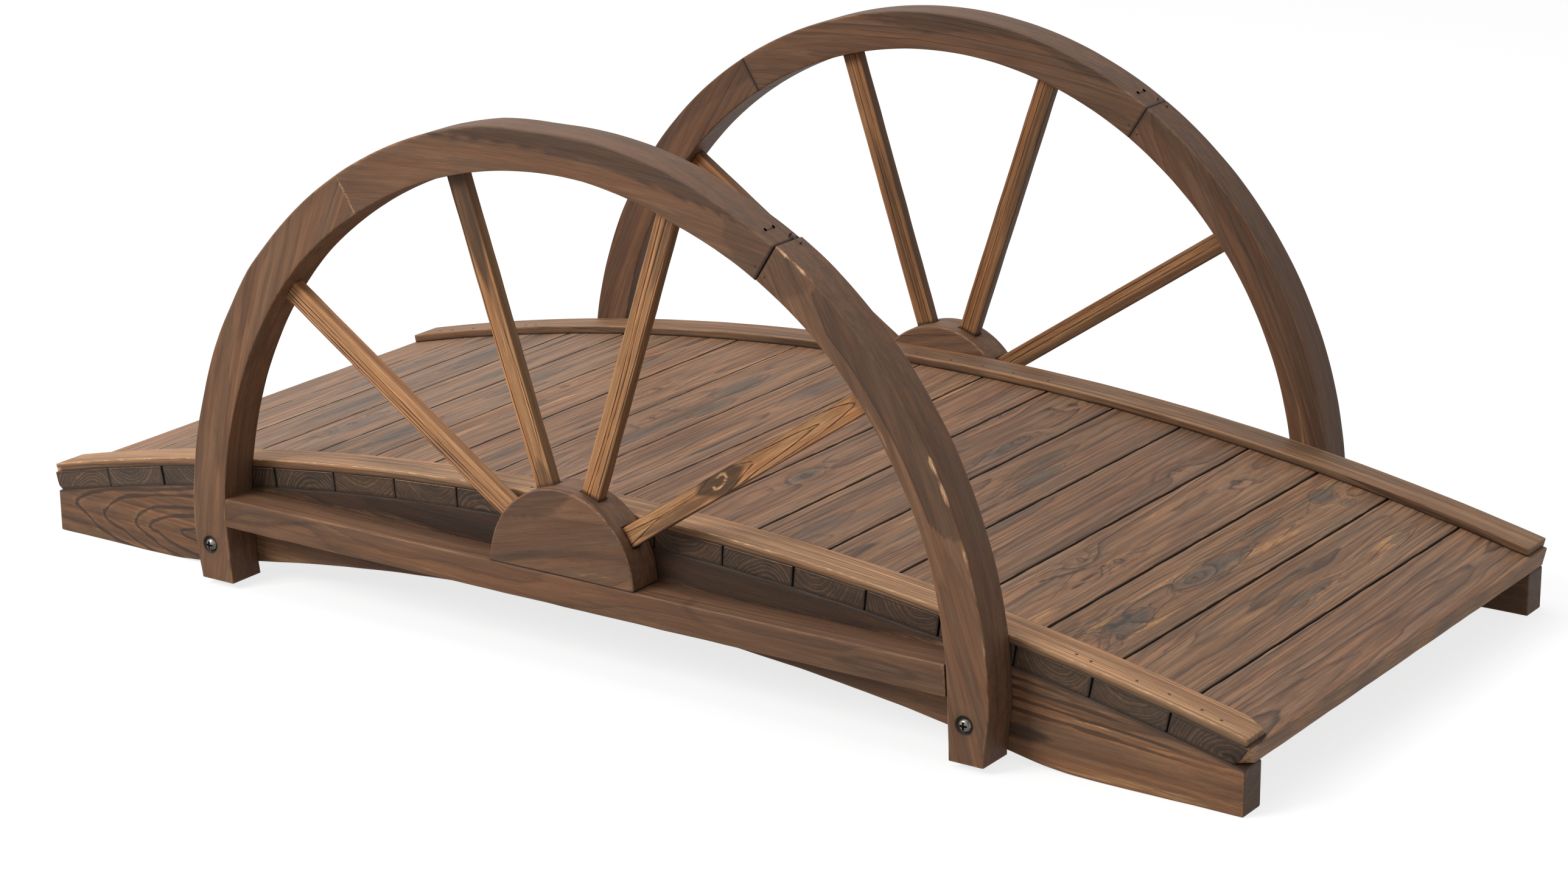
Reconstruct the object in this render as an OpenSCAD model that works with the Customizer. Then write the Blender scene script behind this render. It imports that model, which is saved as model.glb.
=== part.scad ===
// Arched garden bridge in scorched fir. Cross planks sit on two arched stringers,
// two edge strips follow the arch, and a half wheel stands against each side as a rail.
// +X runs along the bridge, +Y across it and +Z up. The origin is on the ground,
// under the middle of the deck. All sizes are in millimetres.

/* [Overall] */
// Overall length, over the top corners of the end planks
overall_l = 997; // [900:1:1200]
// Overall width, over the outer faces of the two half wheels
overall_w = 501.65; // [420:0.05:650]
// Overall height, from the ground to the top of the half wheels
overall_h = 368.3; // [330:0.1:420]

/* [Stringers] */
// Thickness of each arched stringer, across the bridge
stringer_t = 22.6; // [16:0.1:34]
// Height of a stringer at its square-cut ends
stringer_end_h = 31; // [24:0.5:40]
// Height of the top edge at mid-span above its height at the ends
stringer_rise = 59.5; // [45:0.5:75]
// Height of the arched underside at mid-span
soffit_rise = 36.5; // [25:0.5:45]
// Length of the flat foot at each end of a stringer
foot_l = 130; // [90:1:160]

/* [Deck] */
// Number of planks laid across the arch
plank_n = 18; // [16:1:20]
// Thickness of the planks
plank_t = 14; // [10:0.5:20]
// Open joint between neighbouring planks, at their undersides
plank_gap = 0.5; // [0.2:0.1:3]

/* [Edge strips] */
// Width of the strips bent along the deck's edges
strip_w = 28; // [18:0.5:40]
// Thickness of the strips
strip_t = 6.2; // [4:0.1:9]
// Distance of a strip's end from the deck's end, along the arch
strip_inset = 3; // [0:0.5:12]

/* [Half wheels] */
// Thickness of the rim and legs, across the bridge
wheel_t = 29.6; // [22:0.1:36]
// Radial width of the rim, which is also the width of the legs
rim_w = 28.4; // [20:0.1:38]
// Height of the rim's centre, where the rim runs on into the legs
rim_centre_z = 38.3; // [30:0.1:40]
// Height of the legs' feet above the ground
leg_clear = 4.5; // [1:0.5:12]
// Slope of the left-hand rim joint, measured from +X
left_joint_angle = 123; // [112:0.5:130]
// Slope of the right-hand rim joint, measured from +X
right_joint_angle = 57.8; // [50:0.1:68]
// Opening of the rim joints, at the outer face
joint_gap = 0.5; // [0.1:0.1:1.5]

/* [Rail and hub] */
// Height of the rail's underside above the ground
rail_z = 46; // [40:0.5:50]
// Height of the rail's section
rail_h = 21.5; // [16:0.5:28]
// Setback of the rail and hub behind each face of the rim
rail_setback = 0.6; // [0:0.1:4]
// Radius of the half-round hub
hub_r = 60; // [48:0.5:72]

/* [Spokes] */
// Width of a spoke, in the plane of the wheel
spoke_w = 15; // [10:0.5:18]
// Thickness of a spoke, across the bridge
spoke_t = 8.5; // [6:0.5:14]
// Depth to which a spoke enters its socket in the hub
socket_depth = 12; // [6:0.5:18]
// Clearance on each side of a spoke in its socket
socket_clear = 0.7; // [0.2:0.1:1.2]
// Slope of the outer spokes above the rail
outer_spoke_angle = 34; // [28:0.5:40]
// Slope of the inner spokes above the rail
inner_spoke_angle = 71.6; // [64:0.1:78]

/* [Bolts] */
// Height of the bolts above the ground
bolt_z = 30.5; // [26:0.5:34]
// Diameter of the bolt shanks
bolt_d = 5; // [4:0.5:8]
// Clearance round a shank in its bores
bolt_clear = 0.25; // [0.1:0.05:0.6]
// Diameter of the domed heads
head_d = 10; // [9:0.5:14]
// Height of the domed heads
head_h = 3.4; // [2.5:0.1:5]
// Length of the cross recess in the heads, over its arms
cross_l = 5.6; // [4:0.1:7]
// Width of the arms of the cross recess
cross_w = 1.5; // [1:0.1:2]
// Diameter of the shallow recess round each head, in the leg's face
head_recess_d = 12.6; // [12:0.1:16]
// Depth of the shallow recess round each head
head_recess_depth = 1.5; // [0.5:0.1:2.5]
// Diameter of the washers under the nuts
washer_d = 13; // [12:0.5:20]
// Thickness of the washers
washer_t = 1.2; // [0.8:0.1:2]
// Width of the nuts across their flats
nut_w = 8; // [8:0.5:11]
// Thickness of the nuts
nut_t = 4; // [3:0.5:6]
// Length of shank showing beyond a nut
shank_over = 2; // [0:0.5:5]

/* [Hidden] */
$fn = 96;
// Finer count for the long arc of the underside
arch_fn = 720;
// Steps of the long arc on top of a strip
top_steps = 6 * plank_n;
// Slack past a face that is cut through
cut = 1;

// The deck lies between the half wheels and is flush with the stringers' outer faces
deck_w = overall_w - 2 * wheel_t;

// Half the length of the seat line, found so that the end planks' top corners
// come out at the overall length whatever the arch and the planks are
function end_lean(x) = 2 * atan(stringer_rise / x) * (1 - 1 / plank_n);
function seat_end(times, x) =
    times == 0 ? x : seat_end(times - 1, overall_l / 2 - plank_t * sin(end_lean(x)));
seat_x = seat_end(6, overall_l / 2);

// Circle through the corners of the planks' seats
seat_r = (pow(seat_x, 2) + pow(stringer_rise, 2)) / (2 * stringer_rise);
seat_cz = stringer_end_h + stringer_rise - seat_r;
half_a = asin(seat_x / seat_r);
plank_a = 2 * half_a / plank_n;
seat_l = 2 * seat_r * sin(plank_a / 2);
seat_flat_r = seat_r * cos(plank_a / 2);
function joint_angle(i) = -half_a + i * plank_a;

// Circle of the arched underside
soffit_x = seat_x - foot_l;
soffit_r = (pow(soffit_x, 2) + pow(soffit_rise, 2)) / (2 * soffit_rise);

// Circles of the edge strips
strip_low_r = (seat_flat_r + plank_t) / cos(plank_a / 2);
strip_top_r = strip_low_r + strip_t;
strip_a = half_a - strip_inset / seat_r * 180 / PI;

// Half wheels
rim_r = overall_h - rim_centre_z;
rim_in_r = rim_r - rim_w;
leg_x = rim_r - rim_w / 2;
rail_top = rail_z + rail_h;
rail_t = wheel_t - 2 * rail_setback;
wheel_y = overall_w / 2 - wheel_t / 2;
socket_w = spoke_w + 2 * socket_clear;
socket_t = spoke_t + 2 * socket_clear;
spoke_angles = [180 - outer_spoke_angle, 180 - inner_spoke_angle, inner_spoke_angle, outer_spoke_angle];

// Names of the nodes
function two_digits(i) = i < 10 ? str("0", i) : str(i);
plank_names = [for (i = [1:plank_n]) str("plank_", two_digits(i))];
sides = ["near", "far"];
wheel_parts = ["rim_left", "rim_top", "rim_right", "rail", "hub", "bolts"];
function named(part, side) = str(part, "_", side);
function spoke_name(side, i) = str("spoke_", side, "_", i + 1);

// Tones of scorched fir, and of the dark fasteners
plank_tone = "#7d6049";
stringer_tone = "#5f4634";
strip_tone = "#8a6a4c";
rim_tone = "#6f5340";
spoke_tone = "#94704f";
bolt_tone = "#8f8c85";

// -1 for the near side, at negative Y, and +1 for the far side
function sign_of(side) = side == "near" ? -1 : 1;

// Raise an outline drawn as (x, z) into a board of thickness t, centred on y
module board(y, t) {
    translate([0, y + t / 2, 0])
        rotate([90, 0, 0])
            linear_extrude(height = t)
                children();
}

// Round bore across the bridge through whatever lies at (x, z)
module cross_bore(x, z, d) {
    translate([x, 0, z])
        rotate([90, 0, 0])
            cylinder(d = d, h = overall_w + 2 * cut, center = true);
}

// Arched side beam: its top edge has a flat seat for each plank
module stringer(side) {
    seats = [for (i = [0:plank_n]) let (a = joint_angle(i)) [seat_r * sin(a), seat_cz + seat_r * cos(a)]];
    outline = concat([[-seat_x, 0]], seats, [[seat_x, 0]]);
    y = sign_of(side) * (deck_w / 2 - stringer_t / 2);
    color(stringer_tone)
        difference() {
            board(y, stringer_t)
                difference() {
                    polygon(outline);
                    translate([0, soffit_rise - soffit_r])
                        circle(r = soffit_r, $fn = arch_fn);
                }
            for (s = [-1, 1])
                cross_bore(s * leg_x, bolt_z, bolt_d + 2 * bolt_clear);
        }
}

// One deck plank, laid square on its seats at its own slope
module plank(i) {
    left = -seat_l / 2 + (i == 0 ? 0 : plank_gap / 2);
    right = seat_l / 2 - (i == plank_n - 1 ? 0 : plank_gap / 2);
    color(plank_tone)
        translate([0, 0, seat_cz])
            rotate([0, (joint_angle(i) + joint_angle(i + 1)) / 2, 0])
                translate([left, -deck_w / 2, seat_flat_r])
                    cube([right - left, deck_w, plank_t]);
}

// Thin strip bent along the arch over the plank ends
module edge_strip(side) {
    end_r = (seat_flat_r + plank_t) / cos(strip_a - half_a + plank_a / 2);
    joints = [for (i = [1:plank_n - 1]) joint_angle(i)];
    low = concat(
        [[-end_r * sin(strip_a), end_r * cos(strip_a)]],
        [for (a = joints) [strip_low_r * sin(a), strip_low_r * cos(a)]],
        [[end_r * sin(strip_a), end_r * cos(strip_a)]]
    );
    tops = [for (i = [0:top_steps]) strip_a * (1 - 2 * i / top_steps)];
    top = [for (a = tops) [strip_top_r * sin(a), strip_top_r * cos(a)]];
    y = sign_of(side) * (deck_w / 2 - strip_w / 2);
    color(strip_tone)
        translate([0, 0, seat_cz])
            board(y, strip_w)
                polygon(concat(low, top));
}

// Stretch of rim between two slopes, each less half of the joint's opening
module rim_arc(from, to, gap_from, gap_to) {
    a0 = from + gap_from / 2 / rim_r * 180 / PI;
    a1 = to - gap_to / 2 / rim_r * 180 / PI;
    far_r = 2 * rim_r;
    mid = (a0 + a1) / 2;
    intersection() {
        difference() {
            circle(r = rim_r);
            circle(r = rim_in_r);
        }
        polygon([
            [0, 0],
            [far_r * cos(a0), far_r * sin(a0)],
            [far_r * cos(mid), far_r * sin(mid)],
            [far_r * cos(a1), far_r * sin(a1)]
        ]);
    }
}

// Straight leg that runs on from the rim, on the side of the sign s
module leg(s) {
    drop = rim_centre_z - leg_clear;
    translate([s * leg_x - rim_w / 2, -drop])
        square([rim_w, drop]);
}

module rim_board(side) {
    translate([0, 0, rim_centre_z])
        board(sign_of(side) * wheel_y, wheel_t)
            children();
}

// Bore for the bolt in the leg on the side of the sign s, with a shallow recess for its head
module bolt_bore(side, s) {
    cross_bore(s * leg_x, bolt_z, bolt_d + 2 * bolt_clear);
    translate([s * leg_x, sign_of(side) * (overall_w / 2 - head_recess_depth), bolt_z])
        rotate([-90 * sign_of(side), 0, 0])
            cylinder(d = head_recess_d, h = head_recess_depth + cut);
}

// Left-hand rim segment with its leg
module rim_left(side) {
    color(rim_tone)
        difference() {
            rim_board(side) {
                rim_arc(left_joint_angle, 180, joint_gap, 0);
                leg(-1);
            }
            bolt_bore(side, -1);
        }
}

// Crown segment of the rim
module rim_top(side) {
    color(rim_tone)
        rim_board(side)
            rim_arc(right_joint_angle, left_joint_angle, joint_gap, joint_gap);
}

// Right-hand rim segment with its leg
module rim_right(side) {
    color(rim_tone)
        difference() {
            rim_board(side) {
                rim_arc(0, right_joint_angle, 0, joint_gap);
                leg(1);
            }
            bolt_bore(side, 1);
        }
}

// Rail between the legs, with its ends cut to the curve of the rim
module rail(side) {
    color(rim_tone)
        board(sign_of(side) * wheel_y, rail_t)
            intersection() {
                translate([-rim_r, rail_z])
                    square([2 * rim_r, rail_h]);
                translate([0, rim_centre_z])
                    circle(r = rim_in_r);
            }
}

// Frame of spoke i: its middle line runs along +X from the hub's centre
module on_spoke(side, i) {
    translate([0, sign_of(side) * wheel_y, rail_top])
        rotate([0, -spoke_angles[i], 0])
            children();
}

// Half-round hub on the rail, with a socket for each spoke
module hub(side) {
    color(rim_tone)
        difference() {
            board(sign_of(side) * wheel_y, rail_t)
                translate([0, rail_top])
                    intersection() {
                        circle(r = hub_r);
                        translate([-hub_r, 0])
                            square([2 * hub_r, hub_r]);
                    }
            for (i = [0:3])
                on_spoke(side, i)
                    translate([hub_r - socket_depth, -socket_t / 2, -socket_w / 2])
                        cube([2 * socket_depth, socket_t, socket_w]);
        }
}

// Spoke from the floor of its socket to the rim's inner face
module spoke(side, i) {
    color(spoke_tone)
        intersection() {
            on_spoke(side, i)
                translate([hub_r - socket_depth, -spoke_t / 2, -spoke_w / 2])
                    cube([rim_r, spoke_t, spoke_w]);
            rim_board(side)
                circle(r = rim_in_r);
        }
}

// Domed bolts through legs and stringer, with washer and nut made up tight inside
module bolts(side) {
    outer_y = overall_w / 2 - head_recess_depth;
    inner_y = deck_w / 2 - stringer_t;
    dome_r = (pow(head_d / 2, 2) + pow(head_h, 2)) / (2 * head_h);
    color(bolt_tone)
        for (s = [-1, 1])
            translate([s * leg_x, 0, bolt_z])
                rotate([-90 * sign_of(side), 0, 0]) {
                    difference() {
                        intersection() {
                            translate([0, 0, outer_y + head_h - dome_r])
                                sphere(r = dome_r);
                            translate([0, 0, outer_y])
                                cylinder(d = head_d, h = head_h);
                        }
                        for (a = [0, 90])
                            translate([0, 0, outer_y + head_h])
                                rotate([0, 0, a])
                                    cube([cross_l, cross_w, head_h], center = true);
                    }
                    translate([0, 0, inner_y - washer_t - nut_t - shank_over])
                        cylinder(d = bolt_d, h = outer_y - inner_y + washer_t + nut_t + shank_over);
                    translate([0, 0, inner_y - washer_t])
                        cylinder(d = washer_d, h = washer_t);
                    translate([0, 0, inner_y - washer_t - nut_t])
                        cylinder(d = nut_w / cos(30), h = nut_t, $fn = 6);
                }
}

for (i = [0:plank_n - 1])
    plank(i);
for (side = sides) {
    stringer(side);
    edge_strip(side);
    rim_left(side);
    rim_top(side);
    rim_right(side);
    rail(side);
    hub(side);
    bolts(side);
    for (i = [0:3])
        spoke(side, i);
}
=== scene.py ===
import math
from functools import reduce

import bpy
import numpy as np
from mathutils import Matrix


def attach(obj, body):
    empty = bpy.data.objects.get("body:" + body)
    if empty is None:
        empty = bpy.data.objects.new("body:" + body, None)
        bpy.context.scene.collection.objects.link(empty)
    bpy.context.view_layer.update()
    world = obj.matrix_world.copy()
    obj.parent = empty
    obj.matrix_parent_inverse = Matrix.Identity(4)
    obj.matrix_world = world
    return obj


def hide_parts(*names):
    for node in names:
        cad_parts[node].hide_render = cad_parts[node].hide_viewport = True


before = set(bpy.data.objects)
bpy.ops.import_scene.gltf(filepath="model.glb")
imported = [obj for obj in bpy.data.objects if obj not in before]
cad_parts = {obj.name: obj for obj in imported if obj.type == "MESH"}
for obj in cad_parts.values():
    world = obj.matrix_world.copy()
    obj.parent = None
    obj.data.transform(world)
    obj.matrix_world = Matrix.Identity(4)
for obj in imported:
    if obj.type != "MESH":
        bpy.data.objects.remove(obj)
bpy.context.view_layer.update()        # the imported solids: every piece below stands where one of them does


# Sizes of the bridge, in millimetres, the same as in its solid model

OVERALL_L, OVERALL_W, OVERALL_H = 997.0, 501.65, 368.3
STRINGER_T, STRINGER_END_H, STRINGER_RISE = 22.6, 31.0, 59.5
SOFFIT_RISE, FOOT_L = 36.5, 130.0
PLANK_N, PLANK_T = 18, 14.0
STRIP_W, STRIP_T, STRIP_INSET = 28.0, 6.2, 3.0
WHEEL_T, RIM_W, RIM_CENTRE_Z, LEG_CLEAR = 29.6, 28.4, 38.3, 4.5
LEFT_JOINT, RIGHT_JOINT, JOINT_GAP = 123.0, 57.8, 0.5
RAIL_Z, RAIL_H, RAIL_SETBACK, HUB_R = 46.0, 21.5, 0.6, 60.0
SPOKE_W, SPOKE_T, SOCKET_DEPTH, SOCKET_CLEAR = 15.0, 8.5, 12.0, 0.7
SPOKE_ANGLES = (146.0, 108.4, 71.6, 34.0)
BOLT_Z = 30.5
RECESS_R, RECESS_DEEP, WALL_REACH, WALL_HALF = 6.3, 1.5, 0.62, 0.06
BOLT_X, BOLT_TOP_Y = 315.8, 252.725

DECK_W = OVERALL_W - 2 * WHEEL_T
SEAT_X = OVERALL_L / 2
for _ in range(6):
    SEAT_X = OVERALL_L / 2 - PLANK_T * math.sin(2 * math.atan(STRINGER_RISE / SEAT_X) * (1 - 1 / PLANK_N))
SEAT_R = (SEAT_X ** 2 + STRINGER_RISE ** 2) / (2 * STRINGER_RISE)
SEAT_CZ = STRINGER_END_H + STRINGER_RISE - SEAT_R
HALF_A = math.asin(SEAT_X / SEAT_R)
PLANK_A = 2 * HALF_A / PLANK_N
SEAT_L = 2 * SEAT_R * math.sin(PLANK_A / 2)
SEAT_FLAT_R = SEAT_R * math.cos(PLANK_A / 2)
SOFFIT_X = SEAT_X - FOOT_L
SOFFIT_R = (SOFFIT_X ** 2 + SOFFIT_RISE ** 2) / (2 * SOFFIT_RISE)
STRIP_TOP_R = (SEAT_FLAT_R + PLANK_T) / math.cos(PLANK_A / 2) + STRIP_T
STRIP_A = HALF_A - STRIP_INSET / SEAT_R
# Angles of the plank joints from the vertical, about the centre of the arch, and their seats' corners
JOINT_ANGLES = -HALF_A + np.arange(PLANK_N + 1) * PLANK_A
JOINT_X = SEAT_R * np.sin(JOINT_ANGLES)
RIM_R = OVERALL_H - RIM_CENTRE_Z
RIM_IN_R = RIM_R - RIM_W
RIM_MID_R = RIM_R - RIM_W / 2
RAIL_TOP = RAIL_Z + RAIL_H
RAIL_T = WHEEL_T - 2 * RAIL_SETBACK
WHEEL_Y = OVERALL_W / 2 - WHEEL_T / 2
SIDES = {"near": -1.0, "far": 1.0}

MM = 0.001                      # metres in a millimetre
WEAR_REACH = 4.0                # how far the rubbing of an arris reaches into a flat
CAP_INSET = 1.6                 # width of the ring round an end face, outside its cap
FAR_AWAY = 9.0                  # distance that a drawn line reports where there is none
NO_FIGURE = (FAR_AWAY, 0, 1)    # figure of a board without drawn lines


# Boards: every wooden piece is a bar on a grid, with rounded arrises

def unit(x):
    """x, held between 0 and 1."""
    return np.clip(x, 0, 1)


def fade(x, reach):
    """1 where x is 0 or less, falling evenly to 0 at reach."""
    return np.clip(1 - x / reach, 0, 1)


def most(*values):
    """The largest of several values at every point."""
    return reduce(np.maximum, values)


def sway(x, seed, wave):
    """A smooth wandering value about 0: three sine waves of lengths near `wave`, with seeded phases."""
    rng = np.random.default_rng(seed)
    total = np.zeros_like(x, dtype=float)
    for share in (1.0, 0.61, 0.37):
        total += share * np.sin(2 * np.pi * x / (wave * share) + rng.uniform(0, 2 * np.pi))
    return total / 1.98


def section(n_wide, n_thick, n_round):
    """Once round a board's section: points (fw, ft) along the flats, from -1 to 1, and the direction of each
    one's turn at an arris.

    n_wide is how many points cross the width, or their own places from 1 to -1. The second half is the first
    one turned round.
    """
    wide = np.linspace(1, -1, n_wide) if np.ndim(n_wide) == 0 else n_wide
    thick = np.linspace(1, -1, n_thick)
    turn = np.arange(1, n_round) / n_round * np.pi / 2
    one = np.ones_like(turn)
    flats = np.r_[np.c_[wide, 0 * wide + 1], np.c_[-one, one], np.c_[0 * thick - 1, thick], np.c_[-one, -one]]
    turns = np.r_[np.c_[0 * wide, 0 * wide + 1], np.c_[-np.sin(turn), np.cos(turn)],
                  np.c_[0 * thick - 1, 0 * thick], np.c_[-np.cos(turn), -np.sin(turn)]]
    return np.r_[flats, -flats], np.r_[turns, -turns]


def ring_faces(rows, count):
    """Faces of a closed bar whose points are rows of count each: the quads between neighbouring rows, and
    both ends' outlines.
    """
    i, j = np.meshgrid(np.arange(rows - 1), np.arange(count), indexing="ij")
    k = (j + 1) % count
    quads = np.stack([i * count + j, i * count + k, (i + 1) * count + k, (i + 1) * count + j],
                     axis=-1).reshape(-1, 4)
    return quads, [np.arange(count)[::-1], (rows - 1) * count + np.arange(count)]


class Bar:
    """A closed bar: rings of one section at stations along it, drawn in at both ends, and a flat cap inside a
    last ring.

    u runs from 0 to 1 along the bar, and d is a short distance in from an end. A point of a section lies at q
    = fq (half_q - draw - r) + r cq across the width and t = ft (half_t - draw - r) + r ct through the
    thickness, where r is the arris's radius, which wanders along the bar, and draw is the quarter circle at
    the ends. worn is 1 on an arris and falls to 0 at WEAR_REACH into the flats, and cap is 1 on an end face.
    """

    def __init__(self, u, half_q, half_t, arris=0.9, seed=1, length=400.0, n_wide=20, n_thick=8, n_round=3,
                 end=0.7, wander=0.35):
        flats, turns = section(n_wide, n_thick, n_round)
        count = len(flats)
        turn_in = np.arange(n_round + 1) / n_round * np.pi / 2
        end_d = end * (1 - np.cos(turn_in))
        end_draw = end * (1 - np.sin(turn_in))
        cap_draw = end + CAP_INSET
        between = np.zeros(len(u) - 2)
        u_all = np.r_[np.zeros(n_round + 2), u[1:-1], np.ones(n_round + 2)]
        d_all = np.r_[0.0, end_d, between, -end_d[::-1], 0.0]
        draw = np.r_[cap_draw, end_draw, between, end_draw[::-1], cap_draw]
        if np.ndim(half_q):
            half_q = np.r_[np.full(n_round + 2, half_q[0]), half_q[1:-1], np.full(n_round + 2, half_q[-1])]
        rows = len(u_all)
        corner = np.where(flats[:, 0] > 0, np.where(flats[:, 1] > 0, 0, 3), np.where(flats[:, 1] > 0, 1, 2))
        along = u_all * length
        wandering = np.stack([1 + wander * sway(along, seed * 7 + k, 70.0) for k in range(4)], axis=1)
        radius = arris * wandering[:, corner]
        self.r = np.clip(radius - draw[:, None] * 0.8, 0.12 * arris, None)
        self.u = np.repeat(u_all[:, None], count, axis=1)
        self.d = np.repeat(d_all[:, None], count, axis=1)
        half_q = np.broadcast_to(np.asarray(half_q, float), (rows,))[:, None]
        self.q = flats[:, 0] * (half_q - draw[:, None] - self.r) + self.r * turns[:, 0]
        self.t = flats[:, 1] * (half_t - draw[:, None] - self.r) + self.r * turns[:, 1]
        to_q, to_t = half_q - np.abs(self.q), half_t - np.abs(self.t)
        near_edge = np.maximum(to_q, to_t)
        ends = np.minimum(self.u, 1 - self.u) * length + np.abs(self.d)
        on_cap = (draw > end * 0.98)[:, None]
        from_end = np.where(on_cap, np.minimum(to_q, to_t), np.maximum(ends, np.minimum(to_q, to_t)))
        self.worn = fade(np.minimum(near_edge, from_end), WEAR_REACH)
        self.cap = np.repeat(on_cap, count, axis=1).astype(float)
        self.faces = ring_faces(rows, count)


def faces_inwards(points, quads, ends):
    """Whether a closed surface's faces point inwards: the volume inside them, as sums over their triangles,
    is negative.
    """
    p = points - points.mean(axis=0)
    fans = [np.stack([np.full(len(e) - 2, e[0]), e[1:-1], e[2:]], axis=1) for e in ends]
    tris = np.concatenate([quads[:, [0, 1, 2]], quads[:, [0, 2, 3]], *fans])
    a, b, c = p[tris[:, 0]], p[tris[:, 1]], p[tris[:, 2]]
    return np.einsum("ij,ij->", a, np.cross(b, c)) < 0


def new_piece(name, points, faces, material, nodes=()):
    """Puts a piece with points in millimetres into the scene.

    It rides on the bridge and stands for its nodes.
    """
    mesh = bpy.data.meshes.new(name)
    mesh.from_pydata((points * MM).tolist(), [], faces)
    mesh.polygons.foreach_set("use_smooth", np.ones(len(mesh.polygons), dtype=bool))
    mesh.update()
    mesh.materials.append(material)
    piece = bpy.data.objects.new(name, mesh)
    bpy.context.scene.collection.objects.link(piece)
    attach(piece, "root")
    if nodes:
        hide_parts(*nodes)
    return mesh


# The values that a finish reads from every point of its piece: kind, field of the kind, and how many numbers
POINT_VALUES = {
    "grain": ("FLOAT_VECTOR", "vector", 3), "marks": ("FLOAT_COLOR", "color", 4),
    "wear_and_painted_light": ("FLOAT_VECTOR", "vector", 3), "end_face": ("FLOAT", "value", 1),
    "figure": ("FLOAT_VECTOR", "vector", 3), "tone": ("FLOAT_VECTOR", "vector", 3),
}


def wooden(node, faces, points, material, slot, tone, end_face, grain, marks, wear_and_painted_light, figure=NO_FIGURE):
    """Makes the wooden piece that stands for a node, with the values that its finish reads.

    wear_and_painted_light is (arris, fresh_and_highlight, soot_and_shade).
    """
    quads, ends = faces
    count = points.size // 3
    if faces_inwards(points.reshape(-1, 3), quads, ends):
        quads, ends = quads[:, ::-1], [e[::-1] for e in ends]
    mesh = new_piece(f"fir_{node}", points.reshape(-1, 3), quads.tolist() + [e.tolist() for e in ends],
                     material, [node])
    wear_and_painted_light = np.stack(np.broadcast_arrays(*wear_and_painted_light), axis=-1)
    end_face = np.reshape(end_face, (-1, 1))
    for key, values in {"grain": grain, "marks": marks, "wear_and_painted_light": wear_and_painted_light, "end_face": end_face, "figure": figure,
                        "tone": tone}.items():
        kind, field, size = POINT_VALUES[key]
        values = np.broadcast_to(np.reshape(values, (-1, size)), (count, size))
        mesh.attributes.new(key, kind, "POINT").data.foreach_set(field,
                np.ascontiguousarray(values, dtype=np.float32).ravel())


def bumps(s, a, places):
    """Height of the rounded swellings that turn rings into closed loops.

    Each is (along, across, height, half length, half width).
    """
    return sum((height * np.exp(-((s - s0) / long) ** 2 - ((a - a0) / wide) ** 2)
                for s0, a0, height, long, wide in places), 0 * s)


def wood_grain(s, a, b, pith, tilt, bend=0.0, scale=1.0, shift=0.0, swell=()):
    """Grain coordinates in millimetres: along the fibre, then two across it from the tree's centre line.

    The centre line passes pith = (pa, pb) from the board's own middle, leans by tilt = (ta, tb) and bows by
    bend.
    """
    ga = (a - pith[0] + tilt[0] * s) * scale
    gb = (b - pith[1] + tilt[1] * s + bend * (s / 100.0) ** 2 + bumps(s, a, swell)) * scale
    return np.stack([s + shift, ga, gb], axis=-1)


def spindle(s, a, s0, a0, long, wide, lean=0.0):
    """1 in a spindle's middle, falling evenly to 0 at its outline, whose width shrinks to nothing at both
    ends.
    """
    return unit(1 - ((s - s0) / long) ** 2) - np.abs(a - a0 - lean * (s - s0)) / wide


MARK_KINDS = ("knot", "ash", "honey", "char")


def wood_marks(s, a, places):
    """Four masks on the board's own coordinates: knots, blue-grey ash, honey and char.

    Each mark is (kind, along, across, half length, half width, strength[, lean]): an oval for a knot, else a
    spindle.
    """
    out = np.zeros(s.shape + (4,))
    for kind, s0, a0, long, wide, strength, *lean in places:
        if kind == "knot":
            value = 1 - np.hypot((s - s0) / long, (a - a0) / wide)
        else:
            value = spindle(s, a, s0, a0, long, wide, *lean)
        k = MARK_KINDS.index(kind)
        out[..., k] = np.maximum(out[..., k], strength * unit(value))
    return out


def smoked(s, a, places):
    """Darkening by smoke, 0 to 1, in spindles (along, across, half length, half width, strength[, lean]) with
    a soft outer third.
    """
    total = np.zeros_like(s)
    for *place, strength in places:
        total = np.maximum(total, strength * unit(3 * spindle(s, a, *place)))
    return total


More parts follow.
